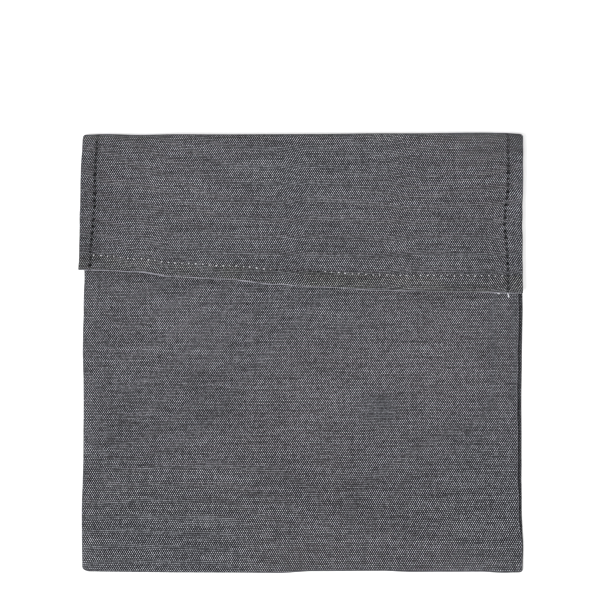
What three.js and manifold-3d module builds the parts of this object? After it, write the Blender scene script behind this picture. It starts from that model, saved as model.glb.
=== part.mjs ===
// Reusable freezer bag: a flat, empty cloth pouch lying on its back with its flap folded over.
// One long strip of cloth makes it all. From end to end the strip is the front, the bottom fold,
// the back, the top fold and the flap. Both sides of the pouch are sewn inside and turned out.
// Millimetres, +Z up, +Y towards the top fold, origin under the middle of the bag.

import * as THREE from 'three';
import { mergeVertices } from 'three/addons/utils/BufferGeometryUtils.js';
import Module from 'manifold-3d';

const wasm = await Module();
wasm.setup();

// Driving dimensions.
const WIDTH = 250;
const TOP = 124.3; // top fold, above the middle
const BOTTOM = -124.4; // bottom fold, below the middle
const CLOTH = 1; // one layer
const HEM_FOLD = 1; // what the turned-in edge of a hem adds on the inner face
const SIDE_HEM = 8; // hems down both sides of the flap
const FLAP_HEM = 9; // hem along the flap's edge
const MOUTH_HEM = 10; // hem along the mouth, under the flap
const HEM_STEP = 3; // width over which a hem thins to one layer
const MOUTH_DROP = 12; // mouth edge, below the top fold
const LAYER_GAP = 0.4; // flap's hems above the front
const SEAM_WIDTH = 9.5; // seam allowances inside each side
const SEAM_FILL = 0.8; // height of those allowances between front and back
const SEAM_INSET = 0.6; // allowances stay this far inside the outline
const CROWN = 2.2; // air that lifts the middle of the front
const CROWN_REACH = 46; // how far in from an edge the crown rises
const MOUTH_LIFT = 20; // the crown runs on this far past the top fold, so the mouth stays raised
const EDGE_DROP = 0.45; // how far the cloth rolls off at a side edge
const EDGE_ROLL = 1.2; // width of that roll
const CORNERS = { bottomLeft: 3.4, bottomRight: 1.6, topLeft: 1.4, topRight: 2 }; // radii
const BACK_TUCK = 0.8; // back lies this far inside the front on the left
const SEAM_END = 0.9; // side seams stop this far short of the bottom fold and the mouth
const GROOVE = 0.8; // width of the groove between the front and the rolled edge
const GROOVE_FLOOR = 1.9; // height of its floor, above the front's underside
const ROLL_INSET = 0.15; // rolled edge, inside the outline
const ROLL_START = -98; // height up the bag where the rolled edge tapers out
const ROLL_TAPER = 14; // length of that taper

// The folds and the flap's edge across the bag. bottom and top are how far each fold bulges past
// its straight line, and depth is how far the flap's edge hangs below the top line.
const CROSS_ROWS = [
  { x: -125, bottom: -0.3, top: -0.3, depth: 77.3 },
  { x: -112, bottom: -0.1, top: 0.1, depth: 77.5 },
  { x: -93, bottom: 0.1, top: -0.4, depth: 78.4 },
  { x: -72, bottom: 0.3, top: 0.0, depth: 81.1 },
  { x: -45, bottom: 0.4, top: -0.1, depth: 82.5 },
  { x: -14, bottom: 0.6, top: 0.0, depth: 85.6 },
  { x: 5, bottom: -0.4, top: 0.1, depth: 86.9 },
  { x: 45, bottom: -0.6, top: 0.5, depth: 88.8 },
  { x: 62, bottom: 0.0, top: 0.5, depth: 89.3 },
  { x: 102, bottom: -0.1, top: 0.9, depth: 90.1 },
  { x: 115, bottom: 0.5, top: 0.7, depth: 90.4 },
  { x: 125, bottom: 0.3, top: 0.2, depth: 90.6 },
];

// How far the pouch's sides bulge past the nominal width, and how far the front stops short of the
// right side, where the back rolls round to the front.
const POUCH_ROWS = [
  { y: -124, left: 0.3, right: 0.1, roll: 0.2 },
  { y: -110, left: 0.4, right: 0.4, roll: 0.9 },
  { y: -90, left: 0.5, right: -0.5, roll: 1.8 },
  { y: -60, left: -0.4, right: -0.6, roll: 2.2 },
  { y: -25, left: -0.5, right: -0.7, roll: 2.3 },
  { y: 5, left: -0.1, right: -0.3, roll: 2.3 },
  { y: 25, left: -0.6, right: 0.0, roll: 2.3 },
  { y: 45, left: -1.0, right: -0.2, roll: 2.3 },
  { y: 124, left: -0.6, right: -0.2, roll: 2.0 },
];

// How far the flap's sides bulge past the nominal width: it lies askew and juts out on the left.
const FLAP_ROWS = [
  { y: 33, left: 2.6, right: 0.0 },
  { y: 47, left: 2.4, right: 0.0 },
  { y: 55, left: 1.8, right: -0.1 },
  { y: 75, left: 1.5, right: -0.3 },
  { y: 100, left: 1.0, right: 0.1 },
  { y: 124, left: -0.3, right: 0.2 },
];

// Soft swells and hollows of the front, and the places where the flap stands a little off it.
const FRONT_SWELLS = [
  { x: -64, y: 16, reach: 22, rise: 0.5 },
  { x: 78, y: 0, reach: 32, rise: 0.6 },
  { x: 7, y: -27, reach: 22, rise: 0.4 },
  { x: -103, y: -38, reach: 20, rise: -0.4 },
  { x: -50, y: -30, reach: 18, rise: -0.5 },
  { x: -10, y: -69, reach: 20, rise: -0.5 },
  { x: 47, y: -76, reach: 34, rise: -0.7 },
];
const FLAP_SWELLS = [
  { x: -75, y: 95, reach: 20, rise: 0.4 },
  { x: -20, y: 102, reach: 22, rise: 0.6 },
  { x: 32, y: 92, reach: 24, rise: 0.6 },
  { x: 84, y: 104, reach: 22, rise: 0.4 },
];

// Where the strip is divided: columns keep to the side hems and spread evenly between them, rows
// spread evenly along each zone, and extra rows mark where a hem starts, steps and ends.
const EDGE_INSETS = [0, EDGE_ROLL, SIDE_HEM, SIDE_HEM + HEM_STEP];
const MIDDLE_COLUMNS = 12;
const ROWS = { front: 16, bottomFold: 6, back: 8, topFold: 8, flap: 6 };
const SEAM_ROWS = 20;

const clamp01 = (value) => Math.min(1, Math.max(0, value));
const mix = (a, b, share) => a + (b - a) * share;
const ease = (share) => clamp01(share) ** 2 * (3 - 2 * clamp01(share));

// One column of a table at a place between two of its rows, eased so that it has no kinks.
function along(rows, axis, place, name) {
  const last = rows.length - 1;
  let row = 0;
  while (row < last - 1 && rows[row + 1][axis] < place) row += 1;
  const share = (place - rows[row][axis]) / (rows[row + 1][axis] - rows[row][axis]);
  return mix(rows[row][name], rows[row + 1][name], ease(share));
}

// A round corner draws a side in by this much at a distance from the fold.
function cornerInset(radius, distance) {
  const reach = radius * (1 - clamp01(distance / radius));
  return radius - Math.sqrt(radius ** 2 - reach ** 2);
}

const bottomFold = (x) => BOTTOM - along(CROSS_ROWS, 'x', x, 'bottom');
const topFold = (x) => TOP + along(CROSS_ROWS, 'x', x, 'top');
const flapEdge = (x) => TOP - along(CROSS_ROWS, 'x', x, 'depth');
const mouthEdge = (x) => topFold(x) - MOUTH_DROP;

// Left and right side of the pouch at height y. In front 1 is the front cloth and 0 the back.
function pouchSides(y, front) {
  const left = -WIDTH / 2 - along(POUCH_ROWS, 'y', y, 'left');
  const right = WIDTH / 2 + along(POUCH_ROWS, 'y', y, 'right');
  const roll = along(POUCH_ROWS, 'y', y, 'roll');
  return {
    left: left + BACK_TUCK * (1 - front) + cornerInset(CORNERS.bottomLeft, y - bottomFold(left)),
    right: right - roll * front - cornerInset(CORNERS.bottomRight, y - bottomFold(right)),
  };
}

// Left and right side of the flap at height y. In over 1 is the flap itself and 0 the back.
function flapSides(y, over) {
  const back = pouchSides(y, 0);
  const left = -WIDTH / 2 - along(FLAP_ROWS, 'y', y, 'left');
  const right = WIDTH / 2 + along(FLAP_ROWS, 'y', y, 'right');
  return {
    left: mix(back.left, left, over) + cornerInset(CORNERS.topLeft, topFold(left) - y),
    right: mix(back.right, right, over) - cornerInset(CORNERS.topRight, topFold(right) - y),
  };
}

function swell(rows, x, y) {
  const rise = (row) => row.rise * Math.exp(-((x - row.x) ** 2 + (y - row.y) ** 2) / row.reach ** 2);
  return rows.reduce((sum, row) => sum + rise(row), 0);
}

// Height of the front's outer face: low over the side seams and the bottom fold, crowned between
// them by a little air, and still raised at the mouth.
function frontHeight(x, y) {
  const fromSeam = WIDTH / 2 - Math.abs(x) - SEAM_WIDTH;
  const fromFold = Math.min(y - BOTTOM, TOP + MOUTH_LIFT - y);
  const lift = ease(fromSeam / CROWN_REACH) * ease(fromFold / CROWN_REACH);
  return 2 * CLOTH + SEAM_FILL + lift * (CROWN + swell(FRONT_SWELLS, x, y));
}

// Height of the flap's outer face. Its hems rest on the front and hold its middle up a little.
function flapHeight(x, y, hem) {
  const rest = frontHeight(x, y) + LAYER_GAP + CLOTH;
  return rest + (HEM_FOLD * (1 + hem)) / 2 + (1 - hem) * swell(FLAP_SWELLS, x, y);
}

// How much of a hem there is at a distance from its edge: 1 within the hem, 0 past its step.
const hemShare = (distance, width) => 1 - ease((distance - width) / HEM_STEP);
const rollOff = (distance) => EDGE_DROP * (1 - ease(distance / EDGE_ROLL));

// Columns across the strip: inset keeps clear of both sides, share runs between the insets.
const edgeColumns = (share) => EDGE_INSETS.slice(0, -1).map((inset) => ({ inset, share }));
const COLUMNS = [
  ...edgeColumns(0),
  ...Array.from({ length: MIDDLE_COLUMNS + 1 }, (_, k) => ({
    inset: EDGE_INSETS.at(-1),
    share: k / MIDDLE_COLUMNS,
  })),
  ...edgeColumns(1).reverse(),
];
const columnX = ({ inset, share }, { left, right }) => mix(left + inset, right - inset, share);
const nominalX = (column) => columnX(column, { left: -WIDTH / 2, right: WIDTH / 2 });
const sideDistance = (x, { left, right }) => Math.min(x - left, right - x);

// A point on a face that lies flat, with its outer side up (1) or down (-1). The face drops towards
// an edge, while the inner side stays where it is.
function flatPoint(x, y, z, up, thick, drop) {
  return { x, y, z: z - up * drop, normalY: 0, normalZ: up, thick: thick - drop };
}

// A point on a fold that turns about a level line at y, from one flat face to the other. Towards
// +1 it bulges up the bag and towards -1 down the bag. Turn 0 is the top of the fold, 1 its underside.
function foldPoint(x, y, height, towards, turn, thick, drop) {
  const radius = height / 2;
  const normalY = towards * Math.sin(turn * Math.PI);
  const normalZ = Math.cos(turn * Math.PI);
  const reach = radius - drop;
  return { x, y: y + reach * normalY, z: radius + reach * normalZ, normalY, normalZ, thick: thick - drop };
}

// The zones of the strip in order. Each gives a point of the outer face for a column and a station.
const ZONES = {
  front(column, { share, fromEnd }) {
    const near = nominalX(column);
    const mouth = mouthEdge(near);
    const last = bottomFold(near) + frontHeight(near, BOTTOM) / 2;
    const y = mouth - (fromEnd ?? mix(MOUTH_HEM + HEM_STEP, mouth - last, share));
    const sides = pouchSides(y, 1);
    const x = columnX(column, sides);
    const distance = sideDistance(x, sides);
    const clearOfSeam = ease((distance - SEAM_WIDTH) / SEAM_WIDTH);
    const thick = CLOTH + HEM_FOLD * hemShare(mouth - y, MOUTH_HEM) * clearOfSeam;
    return flatPoint(x, y, frontHeight(x, y), 1, thick, rollOff(distance));
  },
  bottomFold(column, { share }) {
    const near = nominalX(column);
    const height = frontHeight(near, BOTTOM);
    const y = bottomFold(near) + height / 2;
    const front = (1 + Math.cos(share * Math.PI)) / 2;
    const sides = pouchSides(y - (height / 2) * Math.sin(share * Math.PI), front);
    const x = columnX(column, sides);
    return foldPoint(x, y, height, -1, share, CLOTH, rollOff(sideDistance(x, sides)));
  },
  back(column, { share, pastMouth }) {
    const near = nominalX(column);
    const first = bottomFold(near) + frontHeight(near, BOTTOM) / 2;
    const mouth = mouthEdge(near);
    const y = pastMouth === undefined ? mix(first, mouth - HEM_STEP, share) : mouth + pastMouth;
    const sides = pouchSides(y, 0);
    const x = columnX(column, sides);
    const distance = sideDistance(x, sides);
    const hem = pastMouth > 0 ? hemShare(distance, SIDE_HEM) : 0;
    return flatPoint(x, y, 0, -1, CLOTH + HEM_FOLD * hem, rollOff(distance));
  },
  topFold(column, { share }) {
    const near = nominalX(column);
    const hem = hemShare(sideDistance(near, { left: -WIDTH / 2, right: WIDTH / 2 }), SIDE_HEM);
    const height = flapHeight(near, TOP, hem);
    const y = topFold(near) - height / 2;
    const over = (1 - Math.cos(share * Math.PI)) / 2;
    const sides = flapSides(y + (height / 2) * Math.sin(share * Math.PI), over);
    const x = columnX(column, sides);
    const drop = rollOff(sideDistance(x, sides));
    return foldPoint(x, y, height, 1, 1 - share, CLOTH + HEM_FOLD * hem, drop);
  },
  flap(column, { share, fromEnd }) {
    const near = nominalX(column);
    const side = hemShare(sideDistance(near, { left: -WIDTH / 2, right: WIDTH / 2 }), SIDE_HEM);
    const first = topFold(near) - flapHeight(near, TOP, side) / 2;
    const edge = flapEdge(near);
    const y = edge + (fromEnd ?? mix(first - edge, FLAP_HEM + HEM_STEP, share));
    const sides = flapSides(y, 1);
    const x = columnX(column, sides);
    const hem = Math.max(side, hemShare(y - edge, FLAP_HEM));
    const drop = Math.max(rollOff(sideDistance(x, sides)), rollOff(y - edge));
    return flatPoint(x, y, flapHeight(x, y, hem), 1, CLOTH + HEM_FOLD * hem, drop);
  },
};

// Stations along the strip, in order: a zone, and a share of its length or a distance in it.
function spread(zone) {
  return Array.from({ length: ROWS[zone] }, (_, k) => ({ zone, share: (k + 1) / ROWS[zone] }));
}
const STATIONS = [
  { zone: 'front', fromEnd: 0 },
  { zone: 'front', fromEnd: MOUTH_HEM },
  { zone: 'front', fromEnd: MOUTH_HEM + HEM_STEP },
  ...spread('front'),
  ...spread('bottomFold'),
  ...spread('back'),
  { zone: 'back', pastMouth: HEM_STEP / 2 },
  { zone: 'topFold', share: 0 },
  ...spread('topFold'),
  ...spread('flap'),
  { zone: 'flap', fromEnd: FLAP_HEM },
  { zone: 'flap', fromEnd: EDGE_ROLL },
  { zone: 'flap', fromEnd: 0 },
];

// A slab of cells whose corner points are placed one by one: place(i, j, top) gives [x, y, z] for
// column i, row j and the slab's upper or lower face.
function slab(columns, rows, place) {
  const box = new THREE.BoxGeometry(1, 1, 1, columns, rows, 1);
  box.deleteAttribute('normal');
  box.deleteAttribute('uv');
  const geometry = mergeVertices(box);
  const points = geometry.attributes.position;
  for (let k = 0; k < points.count; k += 1) {
    const i = Math.round((points.getX(k) + 0.5) * columns);
    const j = Math.round((points.getY(k) + 0.5) * rows);
    points.setXYZ(k, ...place(i, j, points.getZ(k) > 0));
  }
  return geometry;
}

// The strip as it lies, row by row from the flap's edge back to the mouth, outer face on top.
function layStrip() {
  const lastRow = STATIONS.length - 1;
  return slab(COLUMNS.length - 1, lastRow, (i, j, outer) => {
    const station = STATIONS[lastRow - j];
    const point = ZONES[station.zone](COLUMNS[i], station);
    const depth = outer ? 0 : point.thick;
    return [point.x, point.y - depth * point.normalY, point.z - depth * point.normalZ];
  });
}

// Place up a side seam: share 0 is at the bottom fold and 1 at the mouth.
function seamY(x, share) {
  return mix(bottomFold(x) + SEAM_END, mouthEdge(x) - SEAM_END, share);
}

// Left side seam: its allowances reach from the middle of the back cloth up into the front cloth.
function leftSeam() {
  return slab(1, SEAM_ROWS, (i, j, upper) => {
    const y = seamY(-WIDTH / 2, j / SEAM_ROWS);
    const outer = pouchSides(y, 0).left + SEAM_INSET;
    const x = i === 0 ? outer : outer + SEAM_WIDTH;
    return [x, y, upper ? frontHeight(x, y) - CLOTH / 2 : CLOTH / 2];
  });
}

// Right side seam: the same, but its outer part lies bare in the groove beside the front's edge.
function rightSeam() {
  return slab(3, SEAM_ROWS, (i, j, upper) => {
    const y = seamY(WIDTH / 2, j / SEAM_ROWS);
    const back = pouchSides(y, 0).right;
    const front = pouchSides(y, 1).right;
    const bare = front - SEAM_INSET / 4;
    const outer = Math.max(back - SEAM_INSET, front);
    const x = [back - SEAM_WIDTH, front - SEAM_INSET, bare, outer][i];
    const top = i < 2 ? frontHeight(x, y) - CLOTH / 2 : GROOVE_FLOOR;
    return [x, y, upper ? top : CLOTH / 2];
  });
}

// The back's right edge, rolled round to the front beside the groove. It tapers out near the bottom.
function rolledEdge() {
  return slab(2, SEAM_ROWS, (i, j, upper) => {
    const y = mix(ROLL_START, mouthEdge(WIDTH / 2) - SEAM_END, j / SEAM_ROWS);
    const back = pouchSides(y, 0).right - ROLL_INSET;
    const width = along(POUCH_ROWS, 'y', y, 'roll') - GROOVE - ROLL_INSET;
    const x = back - width * (1 - i / 2);
    const full = frontHeight(x, y) - (i === 1 ? ROLL_INSET : EDGE_DROP);
    const rise = ease((y - ROLL_START) / ROLL_TAPER);
    return [x, y, upper ? mix(CLOTH, full, rise) : CLOTH - SEAM_INSET / 2];
  });
}

// A geometry as a solid that can be joined, and back again.
function toSolid(geometry) {
  return new wasm.Manifold(new wasm.Mesh({
    numProp: 3,
    vertProperties: new Float32Array(geometry.attributes.position.array),
    triVerts: new Uint32Array(geometry.index.array),
  }));
}

function toGeometry(solid) {
  const mesh = solid.getMesh();
  const geometry = new THREE.BufferGeometry();
  geometry.setAttribute('position', new THREE.BufferAttribute(mesh.vertProperties, 3));
  geometry.setIndex(new THREE.BufferAttribute(mesh.triVerts, 1));
  return geometry;
}

// The whole bag, moved so that the middle of its outline stands over the origin.
function bagCloth() {
  const pieces = [layStrip(), leftSeam(), rightSeam(), rolledEdge()].map(toSolid);
  const geometry = toGeometry(pieces.reduce((joined, piece) => joined.add(piece)));
  geometry.computeBoundingBox();
  const middle = geometry.boundingBox.getCenter(new THREE.Vector3());
  geometry.translate(-middle.x, -middle.y, 0);
  geometry.computeVertexNormals();
  return geometry;
}

const chambray = new THREE.MeshStandardMaterial({ color: 0x5f5e63, roughness: 0.95, metalness: 0 });
const bag = new THREE.Group();
const cloth = new THREE.Mesh(bagCloth(), chambray);
cloth.name = 'bag_cloth';
bag.add(cloth);

export default bag;
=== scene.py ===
"""The looks of a reusable freezer bag: a flat, empty pouch of charcoal chambray, flap folded over.

One long strip of cloth is laid out the way a maker folds it: mouth hem, front, bottom fold, back,
top fold, flap and the flap's hem. Its long edges are turned in, as seam allowances inside the
pouch and as stitched hems on the flap. Sizes are in millimetres until a mesh is written.
"""

import logging
import math
from dataclasses import dataclass
from enum import Enum
from typing import Callable, NamedTuple, Optional, Sequence

import bpy
import numpy as np
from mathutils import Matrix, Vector


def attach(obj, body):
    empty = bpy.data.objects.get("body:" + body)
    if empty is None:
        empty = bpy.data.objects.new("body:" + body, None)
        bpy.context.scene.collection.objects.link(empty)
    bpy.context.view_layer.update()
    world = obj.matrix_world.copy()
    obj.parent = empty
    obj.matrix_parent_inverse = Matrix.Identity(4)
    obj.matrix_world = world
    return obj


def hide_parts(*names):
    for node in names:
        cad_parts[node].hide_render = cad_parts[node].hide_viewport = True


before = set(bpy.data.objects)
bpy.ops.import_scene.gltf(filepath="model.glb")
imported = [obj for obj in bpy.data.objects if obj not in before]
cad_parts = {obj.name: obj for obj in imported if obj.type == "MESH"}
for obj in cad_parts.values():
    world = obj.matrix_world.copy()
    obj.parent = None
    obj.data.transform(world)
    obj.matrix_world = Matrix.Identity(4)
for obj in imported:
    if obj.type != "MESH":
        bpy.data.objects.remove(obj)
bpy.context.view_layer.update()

logging.basicConfig(level=logging.INFO, format="%(name)s: %(message)s")
log = logging.getLogger("freezer_bag")

SOLID = "bag_cloth"
BODY = "root"
MM = 0.001
Array = np.ndarray
Piece = bpy.types.Object
Material = bpy.types.Material
Node = bpy.types.Node
Socket = bpy.types.NodeSocket


# ---------------------------------------------------------------------------------------------
# Small numeric helpers
# ---------------------------------------------------------------------------------------------


def ease(share: Array | float) -> Array:
    """Returns 3s^2 - 2s^3 of a share clipped to 0..1: a step with no corners."""
    clipped = np.clip(share, 0.0, 1.0)
    return clipped * clipped * (3.0 - 2.0 * clipped)


def mix(start: Array | float, end: Array | float, share: Array | float) -> Array:
    """Returns the straight blend start + (end - start) * share."""
    return start + (end - start) * share


def bell(distance: Array, reach: float) -> Array:
    """Returns exp(-(distance / reach)^2), a soft hump of that reach."""
    return np.exp(-np.square(distance / reach))


def along(rows: Sequence[NamedTuple], axis: str, name: str, place: Array) -> Array:
    """Reads one named column of a table at any place, eased between its rows.

    Args:
        rows: the table, in rising order of its axis column.
        axis: name of the column that the place is measured on.
        name: name of the column to read.
        place: where to read it.

    Returns:
        value = a + (b - a) * ease(share), with a and b the rows on either side of the place.
    """
    knots = np.array([getattr(row, axis) for row in rows])
    values = np.array([getattr(row, name) for row in rows])
    left = np.clip(np.searchsorted(knots, place, side="right") - 1, 0, len(knots) - 2)
    share = (place - knots[left]) / (knots[left + 1] - knots[left])
    return mix(values[left], values[left + 1], ease(share))


def soft_noise(x: Array, y: Array, cell_x: float, cell_y: float, seed: int) -> Array:
    """Smooth random hills and hollows from -1 to 1.

    Args:
        x: first coordinate.
        y: second coordinate.
        cell_x: width of one random cell.
        cell_y: height of one random cell.
        seed: picks the random values, the same on every run.

    Returns:
        The random values at the four corners of a point's cell, blended with eased shares.
    """
    size = 64
    lattice = np.random.default_rng(seed).uniform(-1.0, 1.0, (size, size))
    gx, gy = x / cell_x, y / cell_y
    ix, iy = np.floor(gx).astype(int), np.floor(gy).astype(int)
    fx, fy = ease(gx - ix), ease(gy - iy)
    ix, iy = ix % size, iy % size
    jx, jy = (ix + 1) % size, (iy + 1) % size
    low = mix(lattice[ix, iy], lattice[jx, iy], fx)
    high = mix(lattice[ix, jy], lattice[jx, jy], fx)
    return mix(low, high, fy)


# ---------------------------------------------------------------------------------------------
# The bag's own sizes
# ---------------------------------------------------------------------------------------------


class CrossRow(NamedTuple):
    """One place across the bag: how far the folds bulge, and the flap's depth and hem there."""

    x: float
    bottom: float
    top: float
    depth: float
    hem: float


class PouchRow(NamedTuple):
    """One place up the pouch: how far its sides bulge, and how far the back rolls to the front."""

    y: float
    left: float
    right: float
    roll: float


class FlapRow(NamedTuple):
    """One place up the flap: how far its sides bulge past the nominal width."""

    y: float
    left: float
    right: float


class Swell(NamedTuple):
    """A soft rise or hollow of the cloth, round a point."""

    x: float
    y: float
    reach: float
    rise: float


class Noise(NamedTuple):
    """Random hills and hollows: their height, the size of their cells, and their seed."""

    rise: float
    cell_x: float
    cell_y: float
    seed: int

    def at(self, x: Array, y: Array) -> Array:
        """Returns rise * soft_noise at a place."""
        return self.rise * soft_noise(x, y, self.cell_x, self.cell_y, self.seed)


class Band(NamedTuple):
    """A soft rise or hollow along a line, at some distance from an edge."""

    rise: float
    place: float
    reach: float

    def at(self, distance: Array) -> Array:
        """Returns rise * exp(-((distance - place) / reach)^2)."""
        return self.rise * bell(distance - self.place, self.reach)


class Step(NamedTuple):
    """A soft step from 0 to 1."""

    start: float
    run: float

    def at(self, distance: Array) -> Array:
        """Returns the eased share of the run that a distance has passed since the start."""
        return ease((distance - self.start) / self.run)


class Furrow(NamedTuple):
    """The pull of a line of stitches: a trough, deeper at the holes, and a pucker beside it."""

    reach: float
    depth: float
    at_holes: float
    pucker: float
    pucker_place: float
    pucker_reach: float

    def at(self, off: Array, beat: Array) -> Array:
        """Depth of the furrow.

        Args:
            off: distance from the line of stitches.
            beat: 1 at the needle holes and 0 midway between them.

        Returns:
            Two soft humps across the line, the second of which fades between the holes.
        """
        trough = bell(off, self.reach) * (self.depth + self.at_holes * beat)
        return trough + self.pucker * beat * bell(off - self.pucker_place, self.pucker_reach)


CROSS_ROWS = (
    CrossRow(-125.0, -0.3, -0.3, 77.3, 8.8),
    CrossRow(-112.0, -0.1, 0.1, 77.5, 8.4),
    CrossRow(-93.0, 0.1, -0.4, 78.4, 7.5),
    CrossRow(-72.0, 0.3, 0.0, 81.1, 7.8),
    CrossRow(-45.0, 0.4, -0.1, 82.5, 7.9),
    CrossRow(-14.0, 0.6, 0.0, 85.6, 8.6),
    CrossRow(5.0, -0.4, 0.1, 86.9, 9.0),
    CrossRow(45.0, -0.6, 0.5, 88.8, 8.8),
    CrossRow(62.0, 0.0, 0.5, 89.3, 8.9),
    CrossRow(102.0, -0.1, 0.9, 90.1, 9.6),
    CrossRow(115.0, 0.5, 0.7, 90.4, 9.9),
    CrossRow(125.0, 0.3, 0.2, 90.6, 9.9),
)
POUCH_ROWS = (
    PouchRow(-124.0, 0.3, 0.1, 0.2),
    PouchRow(-110.0, 0.4, 0.4, 1.0),
    PouchRow(-90.0, 0.5, -0.5, 1.9),
    PouchRow(-60.0, -0.4, -0.6, 2.3),
    PouchRow(-25.0, -0.5, -0.7, 2.4),
    PouchRow(5.0, -0.1, -0.3, 2.5),
    PouchRow(25.0, -0.6, 0.0, 2.5),
    PouchRow(45.0, -1.0, -0.2, 2.5),
    PouchRow(124.0, -0.6, -0.2, 2.2),
)
FLAP_ROWS = (
    FlapRow(33.0, 2.6, 0.0),
    FlapRow(47.0, 2.4, 0.0),
    FlapRow(55.0, 1.8, -0.1),
    FlapRow(75.0, 1.5, -0.3),
    FlapRow(100.0, 1.0, 0.1),
    FlapRow(124.0, -0.3, 0.2),
)
FRONT_SWELLS = (
    Swell(-64.0, 16.0, 22.0, 0.5),
    Swell(78.0, 0.0, 32.0, 0.6),
    Swell(7.0, -27.0, 22.0, 0.4),
    Swell(-103.0, -38.0, 20.0, -0.4),
    Swell(-50.0, -30.0, 18.0, -0.5),
    Swell(-10.0, -69.0, 20.0, -0.5),
    Swell(47.0, -76.0, 34.0, -0.7),
)
FLAP_SWELLS = (
    Swell(-75.0, 95.0, 20.0, 0.4),
    Swell(-20.0, 102.0, 22.0, 0.6),
    Swell(32.0, 92.0, 24.0, 0.6),
    Swell(84.0, 104.0, 22.0, 0.4),
)
FRONT_DRIFTS = (
    Swell(-10.0, 42.0, 22.0, -0.45),
    Swell(22.0, 14.0, 14.0, 0.25),
    Swell(46.0, -36.0, 20.0, 0.30),
)
FLAP_DRIFTS = (
    Swell(66.0, 124.0, 30.0, 1.9),
    Swell(-112.0, 96.0, 16.0, 0.5),
)


FLAP_EDGE_WAVE = Noise(0.12, 9.0, 9.0, 5)
POUCH_WAVES = (Noise(0.10, 7.0, 7.0, 11), Noise(0.10, 8.0, 8.0, 12))
FLAP_WAVES = (Noise(0.12, 6.0, 6.0, 13), Noise(0.12, 6.0, 6.0, 14))
FRONT_UNEVEN = (Noise(0.16, 34.0, 26.0, 22), Noise(0.07, 15.0, 8.0, 23))
FLAP_UNEVEN = (Noise(0.12, 30.0, 22.0, 31), Noise(0.06, 12.0, 9.0, 32))


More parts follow.
